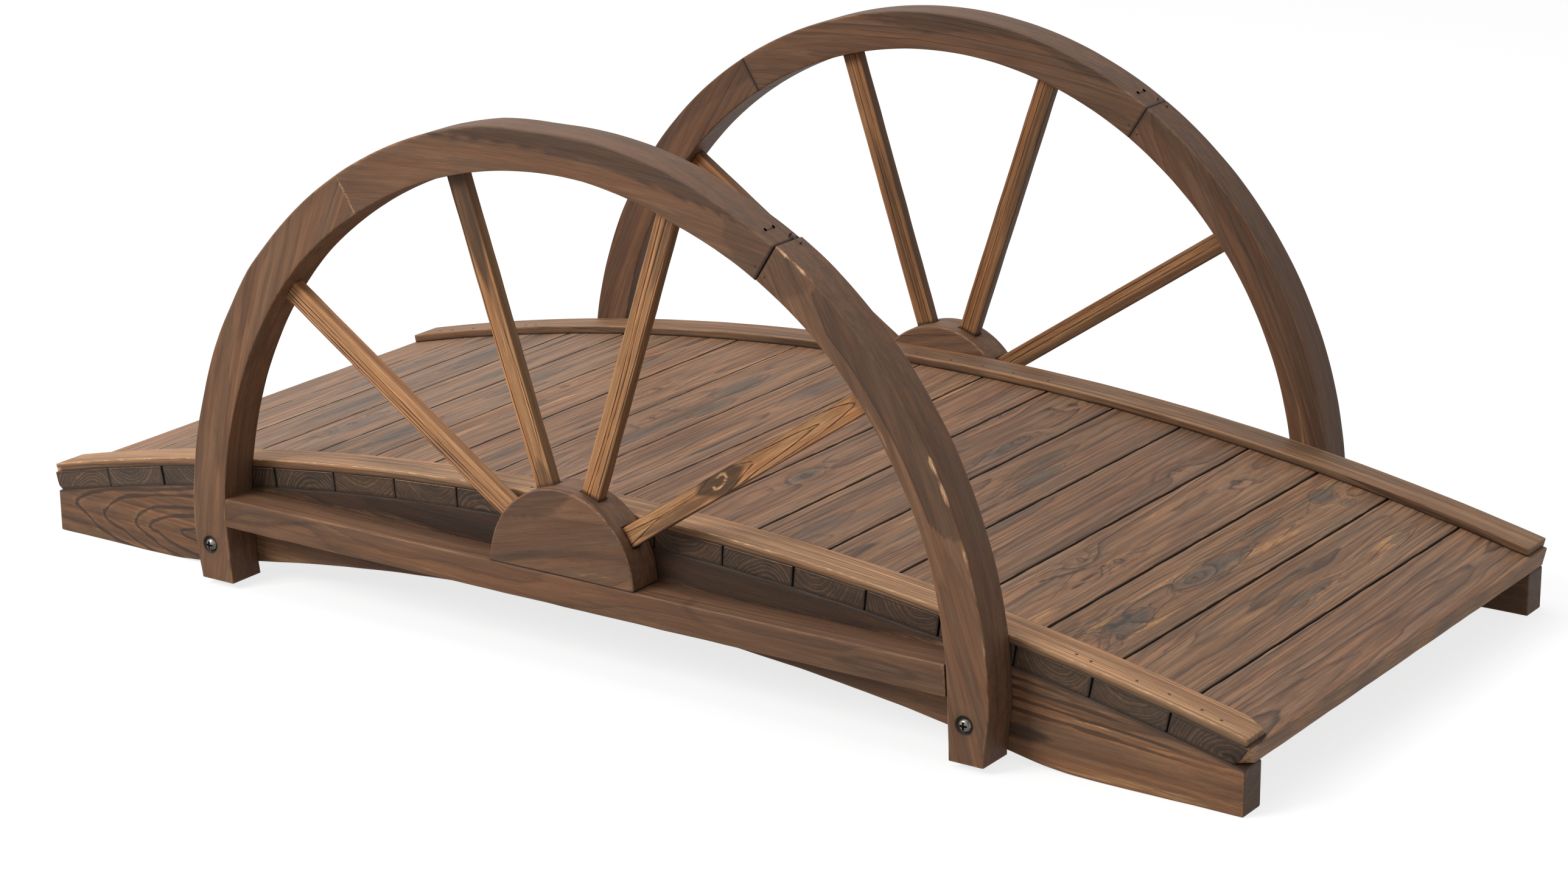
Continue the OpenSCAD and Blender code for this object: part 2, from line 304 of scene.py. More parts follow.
def drawn_lines(s, a, lines, kept):
    """Late-wood lines drawn on a board: (distance to the nearest line, its strength, how much of the year
    rings is kept).

    The distance is in millimetres and changes its sign at every line, so that it runs evenly through it. A
    line is (strength, points along and across). A loop is (strength, tip along, opening, rows): its two arms
    leave the tip towards opening, 1 or -1, and a row is (how far from the tip, lower arm, upper arm). With m
    the middle between the arms and h half their gap, its distance is h^2 - (a - m)^2 over the length of that
    value's gradient. A strength may also be pairs (along, strength); a line with a strength below 0 isn't
    there, which is used far from where it is seen.
    """
    nearest, sign, strength = np.full_like(s, FAR_AWAY), np.ones_like(s), np.zeros_like(s)
    for line in lines:
        if len(line) == 2:
            at, across = np.array(line[1], float).T
            away = (a - np.interp(s, at, across)) / np.sqrt(1 + np.interp(s, at,
                    np.gradient(across, at)) ** 2)
        else:
            u, low, high = np.array(line[3], float).T
            ahead = (s - line[1]) * line[2]
            h2 = ((high - low) / 2) ** 2
            steep = np.gradient(h2, u)
            inside = np.interp(ahead, u, h2) + np.minimum(ahead, 0) * steep[0]
            off = a - np.interp(ahead, u, (high + low) / 2)
            away = (inside - off ** 2) / np.sqrt(np.interp(ahead, u, steep) ** 2 * (ahead < u[-1])
                    + 4 * off ** 2 + 0.05)
        own = np.interp(s, *np.array(line[0], float).T) if np.ndim(line[0]) else line[0]
        away = np.where(own < 0, FAR_AWAY, away)
        strength = np.where(np.abs(away) < nearest, own, strength)
        nearest = np.minimum(nearest, np.abs(away))
        sign = sign * np.where(away < 0, -1.0, 1.0)
    return np.stack([sign * nearest, strength + 0 * s, kept + 0 * s], axis=-1)


def chip(points, at, facing, fresh_and_highlight):
    """Cuts a small facet: a point beyond the plane through `at` that faces `facing` drops onto it, and counts
    as unweathered wood in fresh_and_highlight.
    """
    facing = np.asarray(facing, float) / np.linalg.norm(facing)
    beyond = (points - np.asarray(at, float)) @ facing
    ragged = 0.35 * np.sin(points[..., 0] * 1.7 + points[..., 1] * 1.1) * np.cos(points[..., 2] * 2.3)
    cut = np.clip(beyond + ragged * (beyond > 0), 0, None)
    fresh_and_highlight[...] = np.maximum(fresh_and_highlight, unit(cut / 0.8))
    return points - cut[..., None] * facing


# Node groups shared by the fir finishes

class Web:
    """Adds nodes to one tree and wires them. A source is a socket, or a plain number, vector or colour."""

    def __init__(self, tree):
        self.tree = tree

    def feed(self, socket, source):
        if source is None:
            return
        if isinstance(source, bpy.types.NodeSocket):
            self.tree.links.new(source, socket)
        else:
            socket.default_value = source

    def add(self, kind, sources=None, **settings):
        node = self.tree.nodes.new(kind)
        for key, value in settings.items():
            setattr(node, key, value)
        for key, source in (sources or {}).items():
            self.feed(node.inputs[key], source)
        return node

    def math(self, operation, a, b=None, c=None, clamp=False):
        node = self.add("ShaderNodeMath", operation=operation, use_clamp=clamp)
        for socket, source in zip(node.inputs, (a, b, c)):
            self.feed(socket, source)
        return node.outputs[0]

    def times(self, a, b):
        return self.math("MULTIPLY", a, b)

    def swing(self, noise, amount, base):
        """base, moved by the noise's distance from its middle."""
        return self.math("MULTIPLY_ADD", self.math("SUBTRACT", noise, 0.5), amount, base)

    def parts(self, vector):
        return self.add("ShaderNodeSeparateXYZ", {"Vector": vector}).outputs

    def grey(self, red, green=None, blue=None):
        """A colour from three values, or from one."""
        sources = {"Red": red, "Green": green or red, "Blue": blue or red}
        return self.add("ShaderNodeCombineColor", sources).outputs[0]

    def bump(self, height, strength, distance):
        return self.add("ShaderNodeBump", {"Height": height, "Strength": strength,
                                           "Distance": distance}).outputs[0]

    def principled(self, **sources):
        """The material's Principled shader and its output.

        Names are its inputs with spaces as underscores.
        """
        shader = self.add("ShaderNodeBsdfPrincipled",
                          {key.replace("_", " "): source for key, source in sources.items()})
        self.add("ShaderNodeOutputMaterial", {"Surface": shader.outputs[0]})

    def vector(self, operation, a, b=None, c=None):
        node = self.add("ShaderNodeVectorMath", operation=operation)
        for socket, source in zip(node.inputs, (a, b, c)):
            self.feed(socket, source)
        return node.outputs["Value"] if operation == "LENGTH" else node.outputs[0]

    def noise(self, vector, scale, detail=2.0, roughness=0.5, distortion=0.0):
        sources = {"Vector": vector, "Scale": scale, "Detail": detail, "Roughness": roughness,
                   "Distortion": distortion}
        return self.add("ShaderNodeTexNoise", sources).outputs["Fac"]

    def streaks(self, grain, along, across, detail, roughness=0.5, distortion=0.0):
        """Noise drawn out along the fibre: its scale along the grain, and across it."""
        return self.noise(self.vector("MULTIPLY", grain, (along, across, across)), 1.0, detail, roughness,
                          distortion)

    def step(self, value, low, high, out_low=0.0, out_high=1.0):
        """A smooth step of value between low and high."""
        node = self.add("ShaderNodeMapRange", interpolation_type="SMOOTHSTEP")
        for key, source in (("Value", value), ("From Min", low), ("From Max", high), ("To Min", out_low),
                            ("To Max", out_high)):
            self.feed(node.inputs[key], source)
        return node.outputs[0]

    def mix(self, factor, a, b, blend="MIX"):
        node = self.add("ShaderNodeMix", data_type="RGBA", blend_type=blend, clamp_factor=True)
        self.feed(node.inputs[0], factor)
        self.feed(node.inputs[6], a)
        self.feed(node.inputs[7], b)
        return node.outputs[2]

    def place(self, group, **sources):
        """Places a shared group. Names are its inputs with spaces as underscores."""
        node = self.add("ShaderNodeGroup", node_tree=group)
        for key, source in sources.items():
            self.feed(node.inputs[key.replace("_", " ")], source)
        return node


def new_group(name, inputs, outputs):
    """A node group. Returns a Web on it, its inputs, and what feeds its outputs and returns its tree.

    An input is given its kind, or a plain number as its usual value.
    """
    kinds = {"value": "NodeSocketFloat", "vector": "NodeSocketVector", "colour": "NodeSocketColor"}
    tree = bpy.data.node_groups.new(name, "ShaderNodeTree")
    for label, kind in inputs.items():
        socket = tree.interface.new_socket(name=label, in_out="INPUT",
                                           socket_type=kinds.get(kind, "NodeSocketFloat"))
        if kind not in kinds:
            socket.default_value = kind
    for label, kind in outputs.items():
        tree.interface.new_socket(name=label, in_out="OUTPUT", socket_type=kinds[kind])
    web = Web(tree)
    given, end = tree.nodes.new("NodeGroupInput").outputs, tree.nodes.new("NodeGroupOutput")

    def give(**sources):
        for key, source in sources.items():
            web.feed(end.inputs[key], source)
        return tree

    return web, given, give


def new_material(name):
    """A material with an empty tree, and a Web on it."""
    material = bpy.data.materials.new(name)
    material.use_nodes = True
    material.node_tree.nodes.clear()
    return material, Web(material.node_tree)


def tone_of(r, g, b):
    """A colour as written in 0-255 steps, turned into linear light for a socket."""
    c = np.array([r, g, b]) / 255.0
    lin = np.where(c <= 0.04045, c / 12.92, ((c + 0.055) / 1.055) ** 2.4)
    return (*lin.tolist(), 1.0)


def make_ring_group():
    """Year rings as distance from the tree's centre line, with late-wood lines, fibres, fine pores and broad
    stains.
    """
    w, given, give = new_group("fir_rings", {"Grain": "vector", "Ring Width": 2.4, "Sway": 1.5,
            "Crispness": 0.5}, dict.fromkeys(("Late", "Ring", "Arc", "Fibre", "Pores", "Stain", "Streak",
            "Hue"), "value"))
    grain = given["Grain"]
    slow = w.streaks(grain, 0.007, 0.035, 2.0, 0.45)
    quick = w.streaks(grain, 0.022, 0.2, 2.0, 0.5)
    fuzz = w.streaks(grain, 0.03, 1.4, 1.0, 0.5)
    parts = w.parts(grain)
    flat = w.add("ShaderNodeCombineXYZ", {"Y": parts[1], "Z": parts[2]}).outputs[0]
    radius = w.vector("LENGTH", flat)
    moved = w.swing(slow, w.times(given["Sway"], 6.0), radius)
    moved = w.swing(quick, w.times(given["Sway"], 1.1), moved)
    moved = w.swing(fuzz, 0.35, moved)
    count = w.math("DIVIDE", moved, given["Ring Width"])
    uneven = w.add("ShaderNodeTexNoise", {"W": w.times(count, 0.31), "Scale": 1.0, "Detail": 1.0},
                   noise_dimensions="1D").outputs["Fac"]
    count = w.swing(uneven, 2.6, count)
    phase = w.math("FRACT", count)
    rise = w.step(phase, given["Crispness"], 0.93)
    fall = w.step(phase, 0.94, 1.0, 1.0, 0.0)
    each = w.add("ShaderNodeTexWhiteNoise", {"W": w.math("FLOOR", count)},
                 noise_dimensions="1D").outputs["Value"]
    patchy = w.streaks(grain, 0.012, 0.16, 2.0, 0.5)
    strength = w.times(w.step(each, 0.0, 0.85, 0.25, 1.0), w.step(patchy, 0.34, 0.58, 0.35, 1.0))
    late = w.times(w.times(rise, fall), strength)
    arc = w.times(w.step(phase, 0.02, 0.14), w.step(phase, 0.6, 0.2))
    arc = w.times(arc, w.step(each, 0.0, 0.9, 0.35, 1.0))
    fibre = w.streaks(grain, 0.02, 1.5, 4.0, 0.68)
    pores = w.step(w.streaks(grain, 0.07, 3.2, 1.0, 0.5), 0.58, 0.70)
    stain = w.streaks(grain, 0.007, 0.06, 3.0, 0.6, 0.3)
    streak = w.streaks(grain, 0.005, 0.28, 3.0, 0.6)
    hue = w.noise(w.vector("MULTIPLY_ADD", grain, (0.005, 0.11, 0.11), (31.7, 8.2, 4.4)), 1.0, 3.0, 0.55)
    return give(Late=late, Ring=each, Arc=arc, Fibre=fibre, Pores=pores, Stain=stain, Streak=streak, Hue=hue)


def make_scorch_group():
    """Ground tone of scorched fir: two browns in streaks, each ring its own shade, broad darker and greyer
    stains, warm and cool drifts.
    """
    w, given, give = new_group("fir_scorch", {"Ring": 0.0, "Stain": 0.5, "Streak": 0.5, "Hue": 0.5,
            "Light": "colour", "Mid": "colour", "Dark": "colour", "Ash": "colour", "Stain Depth": 0.5,
            "Ash Amount": 0.3}, {"Color": "colour"})
    early = w.mix(w.step(given["Streak"], 0.36, 0.62), given["Mid"], given["Light"])
    early = w.mix(w.times(w.step(given["Ring"], 0.35, 1.0), 0.35), early, given["Dark"])
    stained = w.mix(w.times(w.step(given["Stain"], 0.5, 0.66), given["Stain Depth"]), early, given["Dark"])
    ashen = w.mix(w.times(w.step(given["Stain"], 0.46, 0.33), given["Ash Amount"]), stained, given["Ash"])
    drift = w.mix(w.step(given["Hue"], 0.36, 0.64), (0.95, 1.0, 1.03, 1.0), (1.06, 0.98, 0.91, 1.0))
    return give(Color=w.mix(1.0, ashen, drift, "MULTIPLY"))


def make_marks_group():
    """Lays the board's own marks into its ground tone, with outlines that run out along the fibre, and knots
    with a dark rim.
    """
    w, given, give = new_group("fir_marks", {"Color": "colour", "Grain": "vector", "Masks": "colour",
            "Char": 0.0}, {"Color": "colour", "Knot": "value"})
    ragged = w.streaks(given["Grain"], 0.02, 0.42, 3.0, 0.62)
    fine = w.streaks(given["Grain"], 0.04, 1.5, 2.0, 0.6)
    wobble = w.swing(fine, 0.75, w.times(w.math("SUBTRACT", ragged, 0.5), 0.95))
    masks = w.add("ShaderNodeSeparateColor", {"Color": given["Masks"]}).outputs

    def within(value, low, high):
        """A mask's inside, frayed along the fibre, and nothing where the mask itself is nothing."""
        moved = w.math("MULTIPLY_ADD", wobble, w.step(value, 0.0, 0.3), value)
        return w.step(moved, low, high)

    tone = given["Color"]
    honey = w.mix(w.step(fine, 0.35, 0.65), tone_of(164, 118, 78), tone_of(198, 154, 110))
    tone = w.mix(w.times(within(masks[2], 0.06, 0.7), 0.8), tone, honey)
    rind = w.times(within(masks[1], 0.02, 0.10), within(masks[1], 0.26, 0.12))
    tone = w.mix(w.times(rind, 0.5), tone, tone_of(62, 44, 33))
    tone = w.mix(w.times(within(masks[1], 0.12, 0.5), 0.75), tone,
                 w.mix(w.step(ragged, 0.36, 0.64), tone_of(72, 67, 63), tone_of(100, 91, 82)))
    tone = w.mix(w.times(within(given["Char"], 0.06, 0.5), 0.82), tone, tone_of(44, 30, 22))
    turned = w.streaks(given["Grain"], 0.30, 0.30, 2.0, 0.5)
    knot = w.swing(turned, w.times(w.step(masks[0], 0.0, 0.3), 0.6), masks[0])
    halo = w.times(w.step(knot, 0.10, 0.42), 0.45)
    inside = w.step(knot, 0.46, 0.56)
    eye = w.math("MULTIPLY_ADD", w.math("SINE", w.times(knot, 40.0)), 0.5, 0.5)
    tone = w.mix(halo, tone, tone_of(92, 64, 46))
    core = w.mix(w.times(eye, 0.7), tone_of(132, 98, 70), tone_of(66, 52, 43))
    tone = w.mix(w.times(inside, 0.8), tone, core)
    border = w.times(w.step(knot, 0.34, 0.46), w.step(knot, 0.62, 0.48))
    tone = w.mix(w.times(border, 0.7), tone, tone_of(38, 27, 20))
    return give(Color=tone, Knot=inside)


def make_lines_group():
    """Draws late wood, fibres and pores into the ground tone.

    On an end face the rings show as pale arcs on dark wood.
    """
    w, given, give = new_group("fir_lines", {"Color": "colour", "Late": 0.0, "Arc": 0.0, "Fibre": 0.5,
            "Pores": 0.0, "Line": "colour", "Line Depth": 0.7, "Fibre Depth": 0.3, "End Face": 0.0,
            "Beside": 0.0}, {"Color": "colour", "Depth": "value"})
    darker = w.mix(1.0, given["Color"], given["Line"], "MULTIPLY")
    paler = w.mix(1.0, given["Color"], (1.42, 1.40, 1.36, 1.0), "MULTIPLY")
    edged = w.mix(w.times(w.math("MAXIMUM", given["Beside"], w.times(given["Arc"], 0.55)), 0.7),
                  given["Color"], paler)
    lined = w.mix(w.times(given["Late"], given["Line Depth"]), edged, darker)
    lined = w.mix(w.times(given["Pores"], 0.35), lined, darker)
    swing = w.math("SUBTRACT", w.step(given["Fibre"], 0.28, 0.72), 0.5)
    shade = w.math("MULTIPLY_ADD", swing, given["Fibre Depth"], 1.0)
    grey = w.grey(shade)
    long_face = w.mix(1.0, lined, grey, "MULTIPLY")
    dull = w.mix(0.84, given["Color"], tone_of(52, 42, 34))
    dull = w.mix(1.0, dull, grey, "MULTIPLY")
    end_face = w.mix(w.times(given["Arc"], 0.6), dull, w.mix(0.5, given["Color"], tone_of(122, 98, 74)))
    depth = w.math("MULTIPLY_ADD", given["Late"], 0.75, w.math("MULTIPLY_ADD", given["Pores"], -0.3,
            w.times(given["Fibre"], 0.5)))
    return give(Color=w.mix(given["End Face"], long_face, end_face), Depth=depth)


def make_wear_and_painted_light_group():
    """Arrises rubbed paler where the rubbing is ragged, unweathered wood on chips and painted highlights on
    some arrises, and sooting and painted shade where boards meet, under them and in hollows.

    Wear is (arris, fresh_and_highlight, soot_and_shade).
    """
    w, given, give = new_group("fir_wear_and_painted_light", {"Color": "colour", "Grain": "vector", "Wear": "vector",
                                            "Rubbed": "colour", "Rub Amount": 0.4, "Tone": "vector"},
                               {"Color": "colour"})
    parts = w.parts(given["Wear"])
    ragged = w.streaks(given["Grain"], 0.03, 0.5, 4.0, 0.7)
    rubbed = w.step(w.swing(ragged, 1.3, parts[0]), 0.70, 1.0)
    tone = w.mix(w.times(rubbed, given["Rub Amount"]), given["Color"], given["Rubbed"])
    # the third value is sooting and painted shade, frayed along the fibre, darkening towards a near-black
    # brown
    frayed = w.times(w.math("SUBTRACT", ragged, 0.5),
                     w.times(w.times(parts[2], w.math("SUBTRACT", 1.0, parts[2])), 3.2))
    smoke_and_shade = w.math("ADD", parts[2], frayed, clamp=True)
    tone = w.mix(w.times(smoke_and_shade, 0.92), tone, tone_of(38, 30, 25))
    # the second value is unweathered wood and painted highlights, in pale wood tones
    grain = w.streaks(given["Grain"], 0.2, 1.2, 3.0, 0.6)
    pale = w.mix(w.step(grain, 0.35, 0.65), tone_of(170, 122, 84), tone_of(228, 190, 150))
    tone = w.mix(w.step(w.swing(ragged, 0.7, parts[1]), 0.3, 0.7), tone, pale)
    own = w.parts(given["Tone"])
    return give(Color=w.mix(1.0, tone, w.grey(own[0], own[1], own[2]), "MULTIPLY"))


def make_figure_group():
    """The lines drawn on a board: dark along their middle, a little ragged, and pale beside.

    Figure is (distance, strength, rings kept).
    """
    w, given, give = new_group("fir_figure", {"Grain": "vector", "Figure": "vector", "Width": 0.4},
                               {"Line": "value", "Beside": "value", "Kept": "value"})
    parts = w.parts(given["Figure"])
    ragged = w.streaks(given["Grain"], 0.10, 0.9, 3.0, 0.6)
    swelling = w.streaks(given["Grain"], 0.03, 0.2, 2.0, 0.5)
    away = w.math("ABSOLUTE", w.swing(ragged, w.times(given["Width"], 1.3), parts[0]))
    width = w.times(given["Width"], w.step(swelling, 0.3, 0.7, 0.6, 1.4))
    line = w.times(w.step(away, w.times(width, 1.35), w.times(width, 0.55)), parts[1])
    beside = w.times(w.step(away, w.times(width, 4.0), w.times(width, 1.5)), parts[1])
    return give(Line=line, Beside=w.math("SUBTRACT", beside, line, clamp=True), Kept=parts[2])


RINGS, SCORCH, MARKS = make_ring_group(), make_scorch_group(), make_marks_group()
LINES, WEAR_AND_PAINTED_LIGHT, FIGURE = make_lines_group(), make_wear_and_painted_light_group(), make_figure_group()


def fir(name, light, mid, dark, ash, line, rubbed, ring_width=2.4, sway=1.5, crisp=0.5, lines=0.9,
        stains=0.5, ashes=0.3, fibres=0.3, rub=0.4, roughness=0.62, relief=0.4, drawn=0.4):
    """A scorched fir finish.

    It reads the piece's own grain, figure, marks, wear_and_painted_light, end-face and tone values.
    """
    material, w = new_material(name)
    read = {key: w.add("ShaderNodeAttribute", attribute_name=key, attribute_type="GEOMETRY").outputs
            for key in ("grain", "figure", "marks", "wear_and_painted_light", "end_face", "tone")}
    grain = read["grain"]["Vector"]
    rings = w.place(RINGS, Grain=grain, Ring_Width=ring_width, Sway=sway, Crispness=crisp).outputs
    ground = w.place(SCORCH, Ring=rings["Ring"], Stain=rings["Stain"], Streak=rings["Streak"],
                     Hue=rings["Hue"], Light=tone_of(*light), Mid=tone_of(*mid), Dark=tone_of(*dark),
                     Ash=tone_of(*ash), Stain_Depth=stains, Ash_Amount=ashes).outputs
    marked = w.place(MARKS, Color=ground["Color"], Grain=grain, Masks=read["marks"]["Color"],
                     Char=read["marks"]["Alpha"]).outputs
    figure = w.place(FIGURE, Grain=grain, Figure=read["figure"]["Vector"], Width=drawn).outputs
    late = w.math("MAXIMUM", w.times(rings["Late"], figure["Kept"]), figure["Line"])
    lined = w.place(LINES, Color=marked["Color"], Late=late, Arc=w.times(rings["Arc"], figure["Kept"]),
                    Fibre=rings["Fibre"], Pores=rings["Pores"], Line=(*line, 1.0), Line_Depth=lines,
                    Fibre_Depth=fibres, End_Face=read["end_face"]["Fac"], Beside=figure["Beside"]).outputs
    worn = w.place(WEAR_AND_PAINTED_LIGHT, Color=lined["Color"], Grain=grain, Wear=read["wear_and_painted_light"]["Vector"],
                   Rubbed=tone_of(*rubbed), Rub_Amount=rub, Tone=read["tone"]["Vector"]).outputs
    height = w.math("MULTIPLY_ADD", marked["Knot"], -0.3, lined["Depth"])
    bump = w.bump(height, relief, 0.0006)
    gloss = w.math("MULTIPLY_ADD", rings["Fibre"], 0.2, w.math("MULTIPLY_ADD", late, -0.1, roughness - 0.1))
    w.principled(Base_Color=worn["Color"], Roughness=gloss, Normal=bump, IOR=1.45, Specular_IOR_Level=0.36)
    return material


# line is what a late-wood line leaves of the ground tone, as red, green and blue shares
DECK_FIR = fir("deck_fir", (156, 120, 93), (122, 92, 71), (76, 56, 44), (100, 90, 80), (0.24, 0.20, 0.17),
               (178, 136, 98), ring_width=2.8, sway=1.4, crisp=0.6, lines=0.95, stains=0.38, ashes=0.28,
               fibres=0.42, rub=0.45, roughness=0.6)
STRINGER_FIR = fir("stringer_fir", (148, 108, 79), (126, 91, 66), (70, 54, 44), (92, 78, 66),
                   (0.26, 0.25, 0.24), (172, 130, 94), ring_width=5.0, sway=1.5, crisp=0.5, lines=0.9,
                   stains=0.35, ashes=0.25, fibres=0.36, rub=0.4, drawn=1.3)
STRIP_FIR = fir("strip_fir", (190, 149, 112), (160, 121, 88), (92, 64, 45), (122, 98, 78),
                (0.22, 0.16, 0.12), (214, 174, 132), ring_width=3.2, sway=0.9, crisp=0.7, lines=0.9,
                stains=0.35, ashes=0.15, fibres=0.45, rub=0.4, drawn=0.36)
WHEEL_FIR = fir("wheel_fir", (128, 95, 71), (112, 82, 61), (86, 62, 47), (94, 75, 61), (0.50, 0.44, 0.39),
                (168, 128, 94), ring_width=2.4, sway=1.2, crisp=0.6, lines=0.42, stains=0.4, ashes=0.2,
                fibres=0.34, rub=0.55)
SPOKE_FIR = fir("spoke_fir", (198, 145, 99), (168, 118, 77), (90, 61, 42), (112, 88, 70), (0.16, 0.11, 0.08),
                (206, 164, 122), ring_width=3.0, sway=0.9, crisp=0.75, lines=0.95, stains=0.3, ashes=0.1,
                fibres=0.4, rub=0.3, drawn=0.42)


# Deck planks

# Opening of each joint between neighbouring planks, at the undersides: wide ones show as dark lines
JOINT_OPEN = [0.3, 1.1, 1.1, 0.9, 0.3, 0.9, 0.2, 0.2, 0.3, 0.9, 1.0, 0.9, 0.9, 1.0, 1.1, 1.0, 0.9]

# Marks on the deck by their place (x along the bridge, y across it): kind, x, y, half length along the plank,
# half width, strength, lean
DECK_MARKS = [
    ("knot", 112, 122, 7, 4.5, 1.0), ("knot", 76, -73, 8, 6, 0.9), ("knot", 141, 180, 7, 5, 1.0),
    ("knot", 151, 92, 7, 4.5, 1.0), ("knot", 262, 118, 8, 5, 0.8), ("knot", 301, 130, 9, 6, 0.9),
    ("knot", 294, -73, 7, 5, 1.0), ("knot", 312, -55, 8, 6, 0.9), ("knot", -137, 48, 7, 5, 0.9),
    ("knot", -92, -20, 6, 4, 0.8), ("knot", -312, -96, 7, 5, 0.9), ("knot", -212, 32, 8, 5, 0.9),
    ("knot", 359, -37, 5, 4, 0.8), ("knot", 370, -156, 8, 6, 0.8), ("knot", 423, 20, 5, 3.5, 0.8),
    ("knot", 348, -146, 6, 5, 0.5),
    # plank 16: a dark patch at its far end and two long blue-grey spindles with pale outlines
    ("ash", 355, 158, 17, 12, 1.0), ("ash", 371, 164, 10, 5, 0.8), ("ash", 360, -14, 60, 9.5, 1.0, 0.02),
    ("ash", 352, 70, 36, 5, 0.7), ("ash", 363, -134, 37, 11, 1.0), ("honey", 367, 40, 90, 4.5, 0.8, 0.04),
    ("honey", 349, -60, 70, 3.5, 0.7), ("honey", 374, -120, 50, 4, 0.8), ("honey", 352, -150, 34, 4, 0.7),
    # plank 15: two dark knots joined by thin lines to a point, and warmer wood nearer the edge
    ("char", 298, -104, 38, 2.0, 1.0, 0.22), ("char", 311, -92, 40, 1.6, 0.9, -0.10),
    ("honey", 322, -180, 40, 10, 0.6), ("honey", 290, 40, 80, 5, 0.35),
    # plank 17: a pale flame at the far end with a small blue-grey heart, and a long grey streak
    ("honey", 420, 128, 34, 7.5, 1.0, 0.03), ("ash", 421, 140, 19, 3.2, 1.0), ("ash", 420, 4, 52, 4.5, 0.9),
    ("honey", 411, -60, 70, 3, 0.5),
    # plank 11 and 10: the pale flame that points to the far side
    ("ash", 199, 30, 44, 7, 1.0), ("ash", 186, 60, 60, 9, 0.4), ("ash", 152, 62, 42, 6, 0.95),
    ("ash", 226, -50, 70, 6, 0.5),
    # broader stains and dark streaks all over the deck
    ("ash", -84, 80, 40, 11, 0.9), ("ash", -68, 20, 34, 8, 0.7),
    ("ash", -74, -60, 70, 7, 0.6), ("ash", 76, -72, 26, 12, 0.7), ("ash", -308, -98, 44, 14, 0.8),
    ("ash", -248, -112, 50, 12, 0.95), ("ash", -252, 40, 60, 10, 0.7), ("ash", -362, 130, 70, 14, 0.8),
    ("ash", -356, -40, 80, 12, 0.7), ("ash", -414, 60, 90, 12, 0.6), ("ash", -136, -130, 50, 8, 0.5),
    ("ash", -30, 100, 60, 10, 0.6), ("ash", 30, 60, 40, 8, 0.6), ("ash", 140, -150, 46, 9, 0.6),
    ("ash", 250, -150, 50, 9, 0.4), ("ash", -300, 60, 60, 9, 0.8), ("ash", -190, 110, 50, 9, 0.7),
    ("ash", -200, -40, 40, 7, 0.6), ("ash", -470, 20, 120, 7, 0.4), ("honey", 56, 150, 60, 9, 0.6),
    ("honey", 92, 30, 90, 5, 0.6), ("honey", -190, 60, 120, 6, 0.5), ("honey", -200, -120, 70, 7, 0.6),
    ("honey", -110, 130, 80, 7, 0.5), ("honey", 112, -100, 80, 5, 0.6), ("honey", 175, -90, 60, 5, 0.5),
    ("honey", -20, -60, 120, 5, 0.5), ("honey", 10, 20, 90, 4, 0.5), ("honey", -330, 10, 100, 5, 0.5),
    ("honey", -390, -90, 80, 6, 0.5), ("honey", 245, 90, 60, 4, 0.4), ("char", -14, -40, 90, 4, 0.5),
    ("char", 40, -20, 120, 3, 0.5), ("char", 205, -60, 110, 2.5, 0.6), ("char", 160, -20, 90, 2.5, 0.5),
    ("char", 262, 40, 120, 2.5, 0.5), ("char", 345, 100, 60, 2, 0.5), ("char", 398, -40, 120, 2, 0.5),
]

# One tone for each plank, as red, green and blue factors: the left-hand planks are greyer and paler
PLANK_TONES = [
    (1.06, 1.02, 0.96), (1.02, 1.04, 1.04), (0.96, 0.99, 1.01), (1.00, 1.00, 0.98), (0.93, 0.96, 0.97),
    (1.08, 1.02, 0.94), (1.04, 0.99, 0.92), (0.94, 0.92, 0.89), (1.00, 0.96, 0.91), (1.01, 0.93, 0.85),
    (0.97, 0.91, 0.85), (0.83, 0.79, 0.75), (0.88, 0.84, 0.78), (0.82, 0.77, 0.73), (0.97, 0.92, 0.85),
    (0.97, 0.93, 0.85), (0.95, 0.92, 0.85), (0.90, 0.85, 0.81),
]

# Tree's centre line in each plank's end, across and up from its middle: it sets how the rings bow in the end
# grain
PLANK_PITH = [
    (9, -15), (-2, 17), (6, 20), (-12, 15), (8, -18), (-3, 22), (14, 16), (-8, -20), (3, 18), (12, -16),
    (-10, 21), (5, -24), (-14, 18), (9, 20), (-6, -22), (4, 19), (-9, 24), (10, -17),
]


